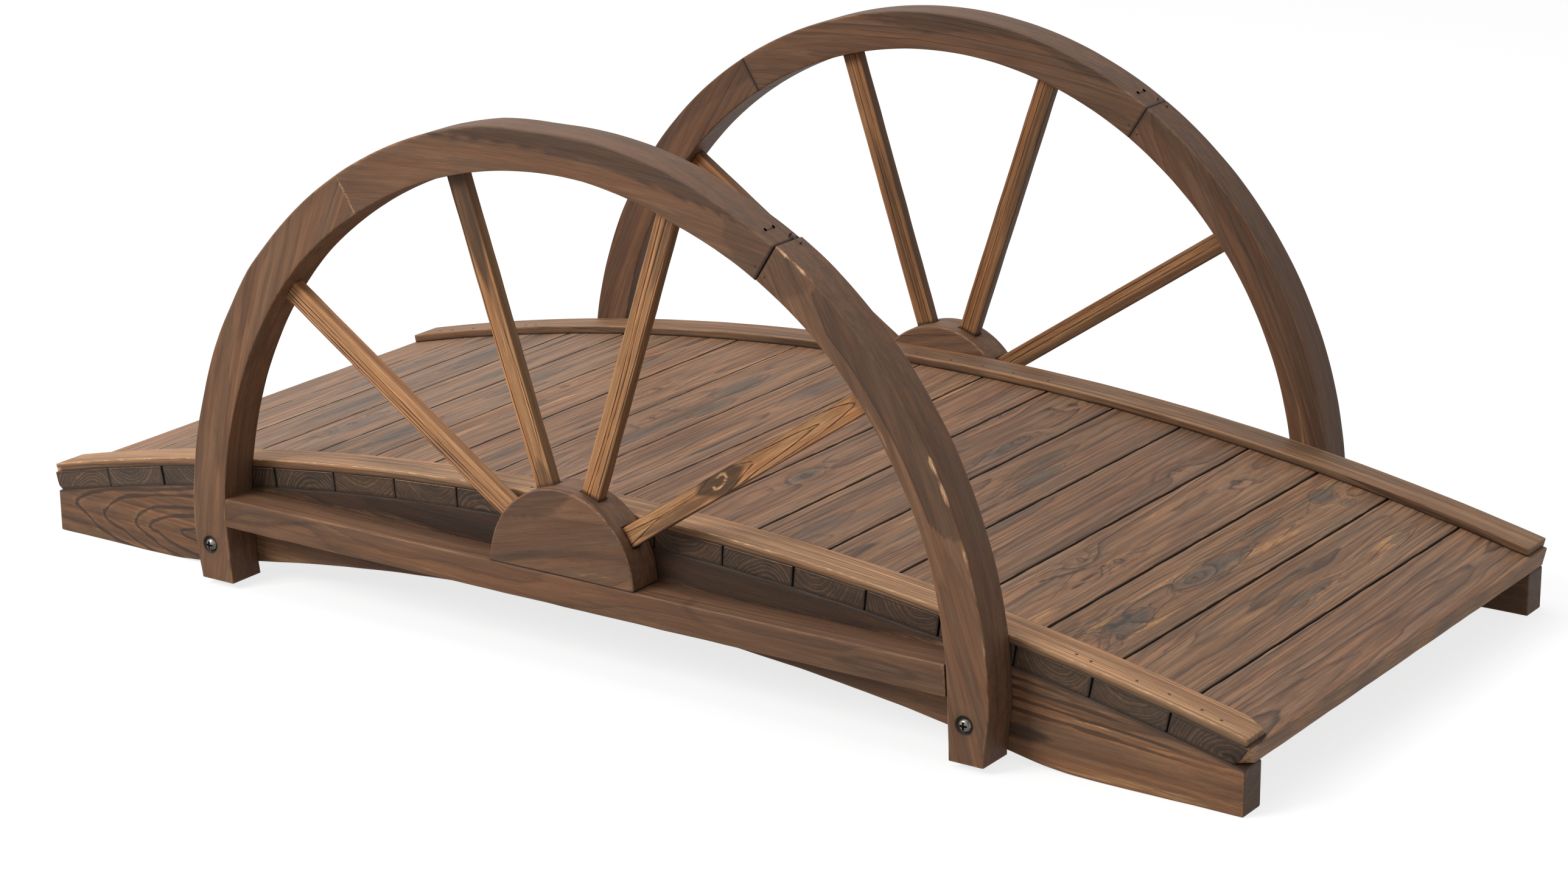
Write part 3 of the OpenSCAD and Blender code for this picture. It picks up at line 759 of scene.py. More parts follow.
# Lines drawn on the deck: plank, strength, and points by y and x. The first two end on a knot each and meet
# in a point
DECK_LINES = [
    (14, [(-150, 0), (-134, 1), (-92, 1), (-84, 0)], [(-150, 313), (-128, 309), (-104, 303), (-84, 300)]),
    (14, [(-150, 0), (-134, 1), (-66, 1), (-56, 0)], [(-150, 305), (-128, 309), (-96, 316), (-56, 314)]),
    (14, [(-66, 0.7), (140, 0.9)], [(-66, 286), (-10, 284), (60, 288), (140, 283)]),
    (15, [(-210, 0.9), (-96, 1), (-60, 0.2)], [(-210, 353), (-170, 352), (-134, 374), (-96, 366),
        (-60, 362)]),
    (15, [(-210, 0.9), (-96, 1), (-60, 0.2)], [(-210, 351), (-170, 350), (-134, 350), (-96, 360),
        (-60, 361)]),
    (15, [(-76, 0.3), (-60, 1), (40, 1), (60, 0.2)], [(-76, 360), (-50, 369), (-14, 370), (20, 366),
        (50, 361)]),
    (15, [(-76, 0.3), (-60, 1), (40, 1), (60, 0.2)], [(-76, 358), (-50, 351), (-14, 349), (20, 354),
        (50, 360)]),
    (15, [(30, 0.6), (100, 0.9), (160, 0.4)], [(30, 372), (80, 366), (120, 360), (160, 346)]),
    (16, [(90, 0.3), (120, 1), (160, 0.8), (180, 0)], [(90, 426), (120, 428), (150, 425), (176, 420)]),
    (16, [(90, 0.3), (120, 1), (160, 0.8), (180, 0)], [(90, 414), (120, 413), (150, 416), (176, 420)]),
    (16, [(-200, 0.8), (200, 0.8)], [(-200, 402), (-80, 398), (60, 404), (200, 400)]),
    (13, [(-200, 0.8), (200, 0.6)], [(-200, 252), (-60, 256), (80, 250), (200, 254)]),
    (12, [(-200, 0.7), (200, 0.8)], [(-200, 204), (-60, 198), (80, 206), (200, 201)]),
    (11, [(-200, 0.7), (200, 0.8)], [(-200, 166), (-60, 158), (80, 161), (200, 152)]),
]


def make_plank(i):
    """Plank i: a bar along y, laid square at its own slope. Its grain runs across the bridge."""
    rng = np.random.default_rng(300 + i)
    slope = (JOINT_ANGLES[i] + JOINT_ANGLES[i + 1]) / 2
    left = -SEAT_L / 2 + (0 if i == 0 else JOINT_OPEN[i - 1] / 2)
    right = SEAT_L / 2 - (0 if i == PLANK_N - 1 else JOINT_OPEN[i] / 2)
    half = (right - left) / 2
    bar = Bar(np.linspace(0, 1, 136), half, PLANK_T / 2, arris=1.0, seed=20 + i, length=DECK_W, n_wide=25,
              n_thick=7)
    short = rng.uniform(0.0, 0.9, 2)
    s = -DECK_W / 2 + short[0] + (DECK_W - short.sum()) * bar.u + bar.d
    q, t = (left + right) / 2 + bar.q, SEAT_FLAT_R + PLANK_T / 2 + bar.t
    along, up = np.array([math.cos(slope), 0, -math.sin(slope)]), np.array([math.sin(slope), 0,
            math.cos(slope)])
    points = q[..., None] * along + t[..., None] * up
    points[..., 1] = s
    points[..., 2] += SEAT_CZ

    def across(x):
        return (x - up[0] * SEAT_FLAT_R) / math.cos(slope)

    own = [(kind, y, across(x), *rest) for kind, x, y, *rest in DECK_MARKS if abs(across(x)) < SEAT_L / 2 + 4]
    drawn = [(strength, [(y, across(x)) for y, x in path]) for plank, strength, path in DECK_LINES
             if plank == i]
    figure = drawn_lines(s, q, drawn, 1.0)
    figure[..., 1] *= (bar.t > 0) * (1 - bar.cap)
    upwards = -math.copysign(1.0, PLANK_PITH[i][1])
    swell = [(m[1], m[2], 5.5 * upwards, 26, 9) for m in own if m[0] == "knot"]
    swell += [(m[1], m[2], 4.0 * upwards * m[5], m[3] * 1.1, m[4] * 1.2) for m in own
              if m[0] in ("ash", "honey") and m[4] > 5]
    grain = wood_grain(s, q, bar.t, PLANK_PITH[i], (rng.uniform(-0.03, 0.03), rng.uniform(-0.02, 0.02)),
                       bend=rng.uniform(-0.8, 0.8), scale=rng.uniform(0.9, 1.2), shift=i * 977.0, swell=swell)
    marks = wood_marks(s, q, own)
    # painted shade: on the side faces in the joints between planks, on the undersides, and in bands along the
    # end faces' top, bottom and side edges where the strip, the stringer and the next planks meet them; the
    # end faces also darken unevenly in waves
    soot_and_shade = unit((np.abs(bar.q) - half + 0.9) / 0.4) * (bar.t < PLANK_T / 2 - 0.12) * (1 - bar.cap)
    soot_and_shade = most(np.where((i == 0) & (bar.q < 0) | (i == PLANK_N - 1) & (bar.q > 0), 0.0, soot_and_shade),
                0.2 * (bar.t < 0) * (1 - bar.cap), bar.cap * unit((np.abs(bar.t) - PLANK_T / 2 + 1.9) / 0.6)
                * 0.95, bar.cap * unit((np.abs(bar.q) - half + 1.7) / 0.5) * 0.9,
                bar.cap * np.clip(0.5 * np.sin(bar.q / 8.5 + 2.3 * i) * np.sin(bar.t / 4.0 + i) + 0.1, 0,
                                  0.45))
    fresh_and_highlight = 0.5 * bar.cap * (i in (1, 4, 10, 12, 15)) * fade(np.abs(bar.q + half - 3.0), 1.3)
    if i == PLANK_N - 1:
        # the last edge is paler wood, and its near lower corner is broken off
        outer = unit((bar.q - half + 0.9) / 0.5)
        marks[..., 2] = np.maximum(marks[..., 2], outer * (0.42 + 0.3 * np.sin(s / 31.0) * np.sin(s / 13.0)))
        soot_and_shade = soot_and_shade * (1 - outer)
        points = chip(points, (496.4, -219.2, 42.0), (0.62, -0.50, -0.60), fresh_and_highlight)
        fresh_and_highlight = fresh_and_highlight * unit((bar.q - half + 5.0) / 2.0)
        fresh_and_highlight[[0, -1]] = 0.0
        fresh_and_highlight = np.maximum(fresh_and_highlight, outer * unit((-s - 196) / 22) * 0.75)
    if i == 0:
        points = chip(points, (-495.5, -219.6, 34.5), (-0.72, -0.45, -0.53), fresh_and_highlight)
        fresh_and_highlight *= 0.35
    wooden(f"plank_{i + 1:02d}", bar.faces, points, DECK_FIR, "plank_wood", PLANK_TONES[i], bar.cap, grain,
           marks, (bar.worn, fresh_and_highlight, soot_and_shade), figure)


# Stringers and edge strips

def seat_height(x):
    """Top edge of a stringer at x: the straight seats from joint to joint."""
    return np.interp(x, JOINT_X, SEAT_CZ + SEAT_R * np.cos(JOINT_ANGLES))


def soffit_height(x):
    """Underside of a stringer at x: flat feet, and the arc between them, with the corner where they meet worn
    round.
    """
    rise = SOFFIT_RISE - SOFFIT_R + np.sqrt(np.clip(SOFFIT_R ** 2 - x ** 2, 0, None))
    round_in = fade(np.abs(np.abs(x) - SOFFIT_X), 34.0)
    return 0.5 * (rise + np.sqrt(rise ** 2 + (3.0 * round_in) ** 2))


# Lines on the near stringer's outer face: nested loops at its left end that open to the right, and long lines
# near its top at the right. A loop is (strength, x of its tip, 1, rows of distance from the tip with the
# heights of its arms)
LOOPS_KEPT = [(-480, 1), (-330, 0.9), (-240, 0), (-200, -1)]
STRINGER_LINES = [
    (LOOPS_KEPT, -478, 1, [(0, 25, 25), (6, 20, 30), (12, 17, 33), (21, 10, 37), (38, 4, 42), (78, -3, 48),
        (120, -8, 57)]),
    (LOOPS_KEPT, -450, 1, [(0, 21, 21), (3, 17, 25), (8, 15, 30), (20, 12, 37), (34, 5, 41), (60, -2, 46),
        (92, -6, 51)]),
    (LOOPS_KEPT, -418, 1, [(0, 19.5, 19.5), (5, 16, 28), (14, 12, 33), (22, 7, 36), (34, 4, 38),
        (60, -2, 42)]),
    (LOOPS_KEPT, -404, 1, [(0, 19.5, 19.5), (8, 17, 26), (19, 12, 30), (30, 9, 33), (46, 6, 36)]),
    (LOOPS_KEPT, -372, 1, [(0, 21, 21), (16, 17, 26), (50, 13, 30)]),
    ([(200, -1), (249, 0), (260, 0), (300, 0.9), (370, 0.8), (388, 0)], [(260, 67), (334, 57.5), (392, 50)]),
    ([(200, -1), (249, 0), (260, 0), (300, 1), (400, 0.9), (425, 0)], [(260, 60), (334, 51), (392, 46),
        (430, 41)]),
    ([(200, -1), (249, 0), (250, 0), (300, 1), (440, 0.9), (465, 0)], [(260, 51), (334, 44), (392, 39),
        (425, 36.5), (465, 32)]),
    ([(200, -1), (249, 0), (250, 0), (300, 1), (440, 0.9), (480, 0)], [(260, 43), (334, 36.5), (370, 34),
        (392, 32.5), (445, 28), (480, 26)]),
]


def make_stringer(side):
    """Stringer: stations at and between the plank joints, its section as high as the arch leaves it."""
    sign = SIDES[side]
    x = np.concatenate([np.linspace(*pair, 12, endpoint=False) for pair in zip(JOINT_X, JOINT_X[1:])]
                       + [JOINT_X[-1:]])
    low, high = soffit_height(x), seat_height(x)
    bar = Bar((x + SEAT_X) / (2 * SEAT_X), (high - low) / 2, STRINGER_T / 2, arris=1.3, seed=61 + int(sign),
              length=2 * SEAT_X, n_wide=44, n_thick=9)
    along = np.clip(-SEAT_X + 2 * SEAT_X * bar.u + bar.d, -SEAT_X, SEAT_X)
    middle = (soffit_height(along) + seat_height(along)) / 2
    z = middle + bar.q
    points = np.stack([along, sign * (DECK_W / 2 - STRINGER_T / 2) + bar.t, z], axis=-1)
    # the year rings are broad and faint here, because the drawn lines make the figure of the outer face
    turned = along if sign < 0 else -along
    grain = np.stack([along + 4000.0 + 500 * sign, (z - 70.0 + 0.05 * turned) * 0.9,
                      24.0 + 5.0 * np.sin(turned / 83.0) - bar.t * sign * 0.6], axis=-1)
    under = seat_height(along) - z
    figure = drawn_lines(turned, z, STRINGER_LINES,
                         0.55 - 0.42 * unit((turned - 100) / 80) * unit((under - 18) / 8))
    figure[..., 1] *= (bar.t * sign > 0) * (1 - bar.cap)
    marks = wood_marks(turned, z, [("honey", 425, 5, 60, 2.2, 0.7), ("honey", 400, 3, 60, 1.8, 0.8),
                                   ("honey", 452, 2, 28, 1.6, 0.7), ("honey", 392, 37, 30, 1.6, 0.7)])
    # char along the top of the outer face between the legs, partly painted shade behind the wheel
    burnt_and_shaded = unit((z - 61.0 - 3.0 * np.sin(along / 37.0)) / 9.0) * unit((300 - np.abs(along)) / 30.0) * (bar.t
            * sign > 0)
    marks[..., 3] = np.maximum(marks[..., 3], 0.62 * burnt_and_shaded)
    # painted shade along the top edge under the planks; darker at the left end and between the legs, partly
    # painted shade behind the wheel; smoke patches on the outer face; darker end faces
    soot_and_shade = most(0.5 * fade(under, 4.0), 0.95 * unit(2.2 - under / 0.9),
                0.34 * unit((-290 - turned) / 60) + 0.34 * unit((250 - np.abs(turned)) / 60),
                smoked(turned, z, [(338, 21.5, 25, 6.5, 0.8), (-474, 33, 22, 4, 0.45),
                                   (-447, 23, 16, 6, 0.5), (-356, 22, 30, 7, 0.5)]) * (bar.t * sign > 0),
                bar.cap * (0.42 + 0.2 * np.sin(bar.t * 2.1)))
    wooden(f"stringer_{side}", bar.faces, points, STRINGER_FIR, "stringer_wood", (1.03, 1.0, 0.95),
           0.6 * bar.cap, grain, marks, (bar.worn, 0.0, soot_and_shade), figure)


def strip_point(angle, y, height=0.0):
    """A point on a strip's top face, at an angle from the vertical about the arch's centre, lifted by height.

    Returns it and up.
    """
    up = np.array([math.sin(angle), 0.0, math.cos(angle)])
    return up * (STRIP_TOP_R + height) + np.array([0.0, y, SEAT_CZ]), up


def make_strip(side):
    """Edge strip: stations by angle about the arch's centre, from the planks' tops up to its own circle."""
    sign = SIDES[side]
    steps = PLANK_N * 12 + 1
    angle = np.linspace(-STRIP_A, STRIP_A, steps)
    bar = Bar(np.linspace(0, 1, steps), STRIP_W / 2, STRIP_T / 2, arris=0.7, seed=81 + int(sign),
              length=2 * STRIP_A * SEAT_R, n_wide=20, n_thick=5, end=1.0)
    a = np.interp(bar.u, np.linspace(0, 1, steps), angle) + bar.d / SEAT_R
    which = np.clip(np.floor((a + HALF_A) / PLANK_A), 0, PLANK_N - 1)
    centre = -HALF_A + (which + 0.5) * PLANK_A
    low = (SEAT_FLAT_R + PLANK_T) / np.cos(a - centre)
    share = (bar.t + STRIP_T / 2) / STRIP_T
    r = low + (STRIP_TOP_R - low) * share
    y = sign * (DECK_W / 2 - STRIP_W / 2) + bar.q
    points = np.stack([r * np.sin(a), y, SEAT_CZ + r * np.cos(a)], axis=-1)
    run = a * SEAT_R
    fresh_and_highlight = np.zeros_like(a)
    if sign < 0:
        pith = (-30.0, -22.0)
        marks = [("ash", -200, 4, 90, 5, 0.3), ("honey", -380, 2, 110, 8, 0.4),
                 ("honey", 250, -6, 180, 7, 0.4)]
        drawn = [(0.8, [(-490, 10.2), (-250, 9.4), (0, 10.6), (260, 9.6), (490, 10.8)]),
                 (0.7, [(-490, 5.0), (-200, 6.4), (100, 4.8), (330, 6.6), (490, 5.6)]),
                 (0.9, [(-490, 1.0), (-220, 0.0), (120, 1.4), (330, 3.4), (360, 2.0), (490, 1.6)]),
                 ([(-490, 0.8), (100, 0.6), (200, 1.0), (490, 1.0)],
                  [(-490, -4.0), (-150, -3.0), (200, -3.8), (360, -2.6), (490, -3.6)]),
                 (0.7, [(-490, -8.4), (-240, -9.6), (60, -8.2), (300, -7.0), (490, -8.0)])]
        tone = (0.93, 0.90, 0.86)
        # the front arris is ragged and pale, the left tip is fresh wood, and the right end is worn round
        front = fade(np.hypot(bar.q + STRIP_W / 2, bar.t - STRIP_T / 2), 1.9)
        fresh_and_highlight = most(fresh_and_highlight,
                     front * (0.62 + 0.25 * sway(run, 5, 23.0)),
                     fade(run - run.min(), 9.0) * (bar.t < 0.5) * 0.8)
        points = chip(points, tuple(strip_point(STRIP_A - 0.0022, y.max() - 4.0, -1.2)[0]),
                      (0.45, 0.6, 0.65), fresh_and_highlight)
    else:
        pith, marks = (40.0, 12.0), [("ash", 60, 0, 160, 8, 0.5), ("honey", -240, -6, 60, 6, 0.4),
                                     ("ash", 300, 4, 150, 7, 0.5)]
        drawn = [(0.8, [(-490, 8.0), (-100, 9.4), (200, 8.2), (490, 9.0)]),
                 (0.8, [(-490, 2.0), (0, 3.0), (260, 1.6), (490, 2.6)]),
                 (0.8, [(-490, -5.0), (-60, -3.6), (250, -4.4), (490, -5.2)]),
                 (0.7, [(-490, -10.0), (490, -9.4)])]
        tone = (0.66, 0.63, 0.61)
    grain = wood_grain(run, bar.q, bar.t, pith, (0.01, 0.006), shift=6000.0 + 700 * sign)
    figure = drawn_lines(run, bar.q, drawn, 0.8)
    # painted shade along the underside's edge and on the low part of the outer face, and on the far strip's
    # inner face
    on_front = unit((-bar.q * -sign - STRIP_W / 2 + 0.5) / 0.4)
    soot_and_shade = np.maximum(unit(-bar.t - STRIP_T / 2 + 1.9), 0.55 * on_front * unit((1.6 - bar.t) / 1.5))
    if sign > 0:
        soot_and_shade = np.maximum(soot_and_shade, 0.45 * fade(bar.q + STRIP_W / 2, 0.8) * (bar.t < 1.8))
    wooden(f"edge_strip_{side}", bar.faces, points, STRIP_FIR, "strip_wood", tone, 0.5 * bar.cap, grain,
           wood_marks(run, bar.q, marks), (bar.worn, fresh_and_highlight, soot_and_shade), figure)


# Half wheels

# Looks of each rim board: where its grain points (degrees from +x), the tree's centre line from the board's
# middle, its tone, marks by angle about the rim's centre (degrees) and height in the width, and patches of
# smoke by the same two: each patch is (strength, softness, points of angle and the height above which it is
# smoked)
RIM_LOOKS = {
    "rim_left_near": (80.0, (10.0, 60.0), (1.03, 1.0, 0.96), [], [(0.22, 4.0, [(123, 10), (140, 12), (160, 4),
        (172, 9), (180, 30)])]),
    "rim_top_near": (-2.0, (-14.0, 52.0), (0.90, 0.86, 0.83), [("honey", 74, -9, 46, 3.5, 0.25)], [(0.55, 1.2,
        [(60, 16), (62, 12.4), (66, 7.4), (70.5, 3.4), (79, -0.6), (90, 1.0), (102, 8.8), (109, 15),
        (111, 16)]), (0.30, 3.0, [(57, -16), (61, -12), (64, -4), (66, 30)])]),
    "rim_right_near": (-66.0, (16.0, 58.0), (1.04, 1.0, 0.96), [("honey", 34, -10.5, 44, 3.0, 0.35)],
        [(0.50, 1.2, [(19.8, 30), (20.2, 7), (22.5, -2.5), (27, -3), (36, -3), (47, -2), (51.5, 9),
        (52, 30)]), (0.30, 1.6, [(20.0, 30), (20.4, 6), (23, 3), (25, 30)]), (0.34, 6.0, [(50, 30), (53, -6),
        (58, -30)])]),
    "rim_left_far": (66.0, (44.0, -20.0), (0.80, 0.76, 0.73), [], [(0.3, 3.0, [(120, -4), (140, 6), (160, -2),
        (180, 8)])]),
    "rim_top_far": (-2.0, (-14.0, 40.0), (0.80, 0.76, 0.73), [], [(0.5, 1.6, [(60, 16), (68, 6), (76, 9),
        (84, 5), (92, -2), (99, 6), (104, 16)])]),
    "rim_right_far": (-66.0, (-12.0, 42.0), (0.80, 0.76, 0.73), [("honey", 8, -3, 50, 1.6, 0.6)], [(0.3, 2.0,
        [(0, 5), (14, 0), (26, 4), (40, -1), (58, 6)])]),
}


def rim_values(name, points, bar, side, seed, fresh_and_highlight, soot_and_shade):
    """What wooden() asks for a rim board.

    It was sawn from a straight board, so the grain runs straight through the curve.
    """
    heading, pith, tone, places, smoke_and_shade = RIM_LOOKS[name]
    h = math.radians(heading)
    along = points[..., 0] * math.cos(h) + points[..., 2] * math.sin(h)
    across = -points[..., 0] * math.sin(h) + points[..., 2] * math.cos(h)
    through = points[..., 1] - SIDES[side] * WHEEL_Y
    grain = wood_grain(along, (across - across.mean()) * 0.75 + 0.3 * bar.q, through * SIDES[side],
                       (pith[0], -pith[1]), (0.02, -0.015), bend=0.5, shift=seed * 613.0)
    degrees = np.degrees(np.arctan2(points[..., 2] - RIM_CENTRE_Z, points[..., 0]))
    unrolled = RIM_MID_R * np.radians(90 - degrees)
    marks = wood_marks(unrolled, bar.q, [(k, RIM_MID_R * math.radians(90 - a), q, *rest) for k, a, q,
                                         *rest in places])
    on_front = unit((2.0 - WHEEL_T / 2 - through) / 1.5)
    soot_and_shade = np.maximum(soot_and_shade, 0.26 * (1 - on_front) * (bar.q > 0))
    for strength, soft, edge in smoke_and_shade:
        past = bar.q - np.interp(degrees, *np.array(edge, float).T)
        inside = on_front * ((degrees > edge[0][0]) & (degrees < edge[-1][0]))
        soot_and_shade = most(soot_and_shade,
                    inside * strength * unit(past / soft + 0.5),
                    inside * (soft < 1.5) * 0.75 * unit(1.5 - np.abs(past - 0.4) / 0.7))
    return tone, 0.6 * bar.cap, grain, marks, (bar.worn, fresh_and_highlight, soot_and_shade)


# How far the near wheel's outer and inner edges stand out from true circles, in mm by angle, and its left
# leg's by height
OUTER_DRIFT = [
    (9, 3.2), (14, 2.9), (25, 2.4), (29, 2.6), (53, 1.9), (57.7, 1.4), (57.9, -0.1), (62, -0.9), (68, -1.1),
    (73, 0.0), (80, 0.2), (86, -0.1), (91, -0.1), (93, 0.2), (97, 2.0), (100, 3.2), (107, 3.7), (138, 3.6),
    (143, 4.2), (149, 3.0), (155, 2.8), (161, 1.6), (171, 1.2),
]
INNER_DRIFT = [
    (0, 1.4), (9, 1.2), (16, 2.3), (23, 2.6), (30, 1.7), (38, 2.2), (49, 2.2), (57.7, 0.8), (57.9, 0.4),
    (66, -1.0), (70, -1.6), (76, -0.6), (85, 1.0), (103, 1.3), (123, 2.0), (136, 3.2), (149, 1.8), (160, 0.6),
    (170, -0.3), (180, -0.2),
]
LEG_OUT_DRIFT = [
    (4.5, -5.0), (10, -4.2), (17.5, -3.0), (35, -1.6), (53, -0.6), (71, 0.4), (89, 1.3), (108, 2.4),
]
LEG_IN_DRIFT = [
    (4.5, -6.0), (15, -4.3), (23, -3.5), (40, -2.9), (58, -2.1), (77, -1.2), (94, -0.6), (114, -0.3),
]


def drift(table, at):
    """Reads one of these tables at the given angles or heights."""
    return np.interp(at, *np.array(table, float).T)


def make_rim(part, side, start, stop, leg, seed):
    """Rim board: its middle line turns from angle start to stop about the rim's centre, then may drop as a
    leg.

    leg is 0, or the sign of the side on which the leg stands; the arc then ends at the leg's top. A round
    recess for the bolt's head is sunk into the leg's outer face: points within its radius lie RECESS_DEEP in,
    and the ones within WALL_REACH of its wall are drawn onto it, WALL_HALF to either side.
    """
    name = f"{part}_{side}"
    sign = SIDES[side]
    arc = abs(math.radians(stop - start)) * RIM_MID_R
    drop = RIM_CENTRE_Z - LEG_CLEAR if leg else 0.0
    length = arc + drop
    stations = np.linspace(0, 1, max(60, int(length / 2.8)))
    wide = np.linspace(1, -1, 12)
    if leg:
        bolt_s = arc + RIM_CENTRE_Z - BOLT_Z
        stations = np.unique(np.r_[stations, np.linspace(bolt_s - 8.4, bolt_s + 8.4, 29) / length])
        wide = np.r_[1.0, 0.8, np.linspace(0.66, -0.66, 28), -0.8, -1.0]
    bar = Bar(stations, RIM_W / 2, WHEEL_T / 2, arris=1.2, seed=seed, length=length, n_wide=wide, n_thick=12,
              n_round=4, end=0.5, wander=0.25)
    s = length * bar.u + bar.d
    outer_band, inner_band = unit((bar.q - 7.0) / (RIM_W / 2 - 7.0)), unit((-bar.q - 7.0) / (RIM_W / 2 - 7.0))
    # the near wheel's left joint is tight, and its right one stands open
    gaps = {LEFT_JOINT: 0.02, RIGHT_JOINT: 0.55} if side == "near" else {}
    gap_low, gap_high = gaps.get(start, JOINT_GAP / 2 + 0.05), gaps.get(stop, JOINT_GAP / 2 + 0.05)
    s = np.clip(s, gap_low, None) if leg else np.clip(s, gap_low, length - gap_high)
    turned = np.minimum(s, arc) / RIM_MID_R * (1 if stop > start else -1)
    angle = math.radians(start) + turned
    out = RIM_MID_R + bar.q
    if side == "near":
        degrees = np.degrees(angle)
        free = fade(np.clip(s - arc, 0, None), 30.0) if leg < 0 else 1.0
        out = out + free * (drift(OUTER_DRIFT, degrees) * outer_band + drift(INNER_DRIFT,
                degrees) * inner_band)
    x, z = out * np.cos(angle), RIM_CENTRE_Z + out * np.sin(angle)
    z = z - np.clip(s - arc, 0, None)
    if name == "rim_left_near":
        on_leg = unit((RIM_CENTRE_Z + 40.0 - z) / 50.0)
        x = x - on_leg * (drift(LEG_OUT_DRIFT, z) * outer_band + drift(LEG_IN_DRIFT, z) * inner_band)
    if name == "rim_right_near":
        x = x + unit((RIM_CENTRE_Z - z) / 30.0) * (-3.4 * outer_band + 1.0 * inner_band)
    face = bar.t * sign - WHEEL_T / 2
    t_out = bar.t
    soot_and_shade = np.zeros_like(s)
    if leg:
        radius = np.hypot(bar.q, s - bolt_s)
        on_face = face > -0.05
        inside = on_face & (radius < RECESS_R)
        to_wall = on_face & (np.abs(radius - RECESS_R) < WALL_REACH)
        pull = np.where(to_wall, np.where(inside, RECESS_R - WALL_HALF, RECESS_R + WALL_HALF)
                        / np.maximum(radius, 0.1), 1.0)
        x = np.where(to_wall, leg * RIM_MID_R + (x - leg * RIM_MID_R) * pull, x)
        z = np.where(to_wall, BOLT_Z + (z - BOLT_Z) * pull, z)
        t_out = np.where(inside, bar.t - sign * RECESS_DEEP, bar.t)
        # painted shade in the bolt's recess, on its wall and in a ring round it
        soot_and_shade = np.where(inside, 0.9, np.where(to_wall, 0.7, 0.0)) + 0.25 * on_face * fade(radius - RECESS_R,
                5.0)
    fresh_and_highlight = np.zeros_like(s)
    if name == "rim_right_near":
        # its outer arris is rubbed through in places: right below the joint, about the middle, and at the
        # leg's top
        edge = fade(np.hypot(bar.q - RIM_W / 2, bar.t + WHEEL_T / 2), 2.2)
        bare = np.interp(np.degrees(angle), [3, 5, 9, 10, 14.6, 15.5, 19.5, 20, 23, 23.5, 29, 30, 52.5, 53.5,
                56.5, 57.5], [0, 0.6, 0.6, 0, 0, 0.8, 0.8, 0, 0, 1, 1, 0, 0, 1, 1, 0.6])
        fresh_and_highlight = edge * bare * (0.85 + 0.3 * np.sin(s / 3.1))
    if name == "rim_left_near":
        # darker low on the inner side, and a painted highlight along its back arris
        soot_and_shade = np.maximum(soot_and_shade, unit((-bar.q - RIM_W / 2 + 0.6) / 0.5) * unit((120 - z) / 90)
                          * (0.08 + 0.1 * sway(s, 4, 31.0)))
        fresh_and_highlight = fade(np.hypot(bar.q + RIM_W / 2, bar.t - WHEEL_T / 2), 3.0) * 0.42
    from_left = np.abs(angle - math.radians(LEFT_JOINT)) * RIM_MID_R
    if name in ("rim_top_near", "rim_left_near"):
        fresh_and_highlight = np.maximum(fresh_and_highlight, unit(1.5 - from_left / 0.8) * 0.44)
    from_right = np.abs(angle - math.radians(RIGHT_JOINT)) * RIM_MID_R
    # painted shade in the open right joint, and in the far wheel's left joint
    soot_and_shade = np.maximum(soot_and_shade, 0.9 * unit(1.4 - from_right / 1.1) * (fresh_and_highlight < 0.3))
    if side == "far":
        soot_and_shade = np.maximum(soot_and_shade, 0.8 * unit(1.4 - from_left / 1.1))
    points = np.stack([x, sign * WHEEL_Y + t_out, z], axis=-1)
    wooden(name, bar.faces, points, WHEEL_FIR, "wheel_wood", *rim_values(name, points, bar, side, seed,
            fresh_and_highlight, unit(soot_and_shade)))


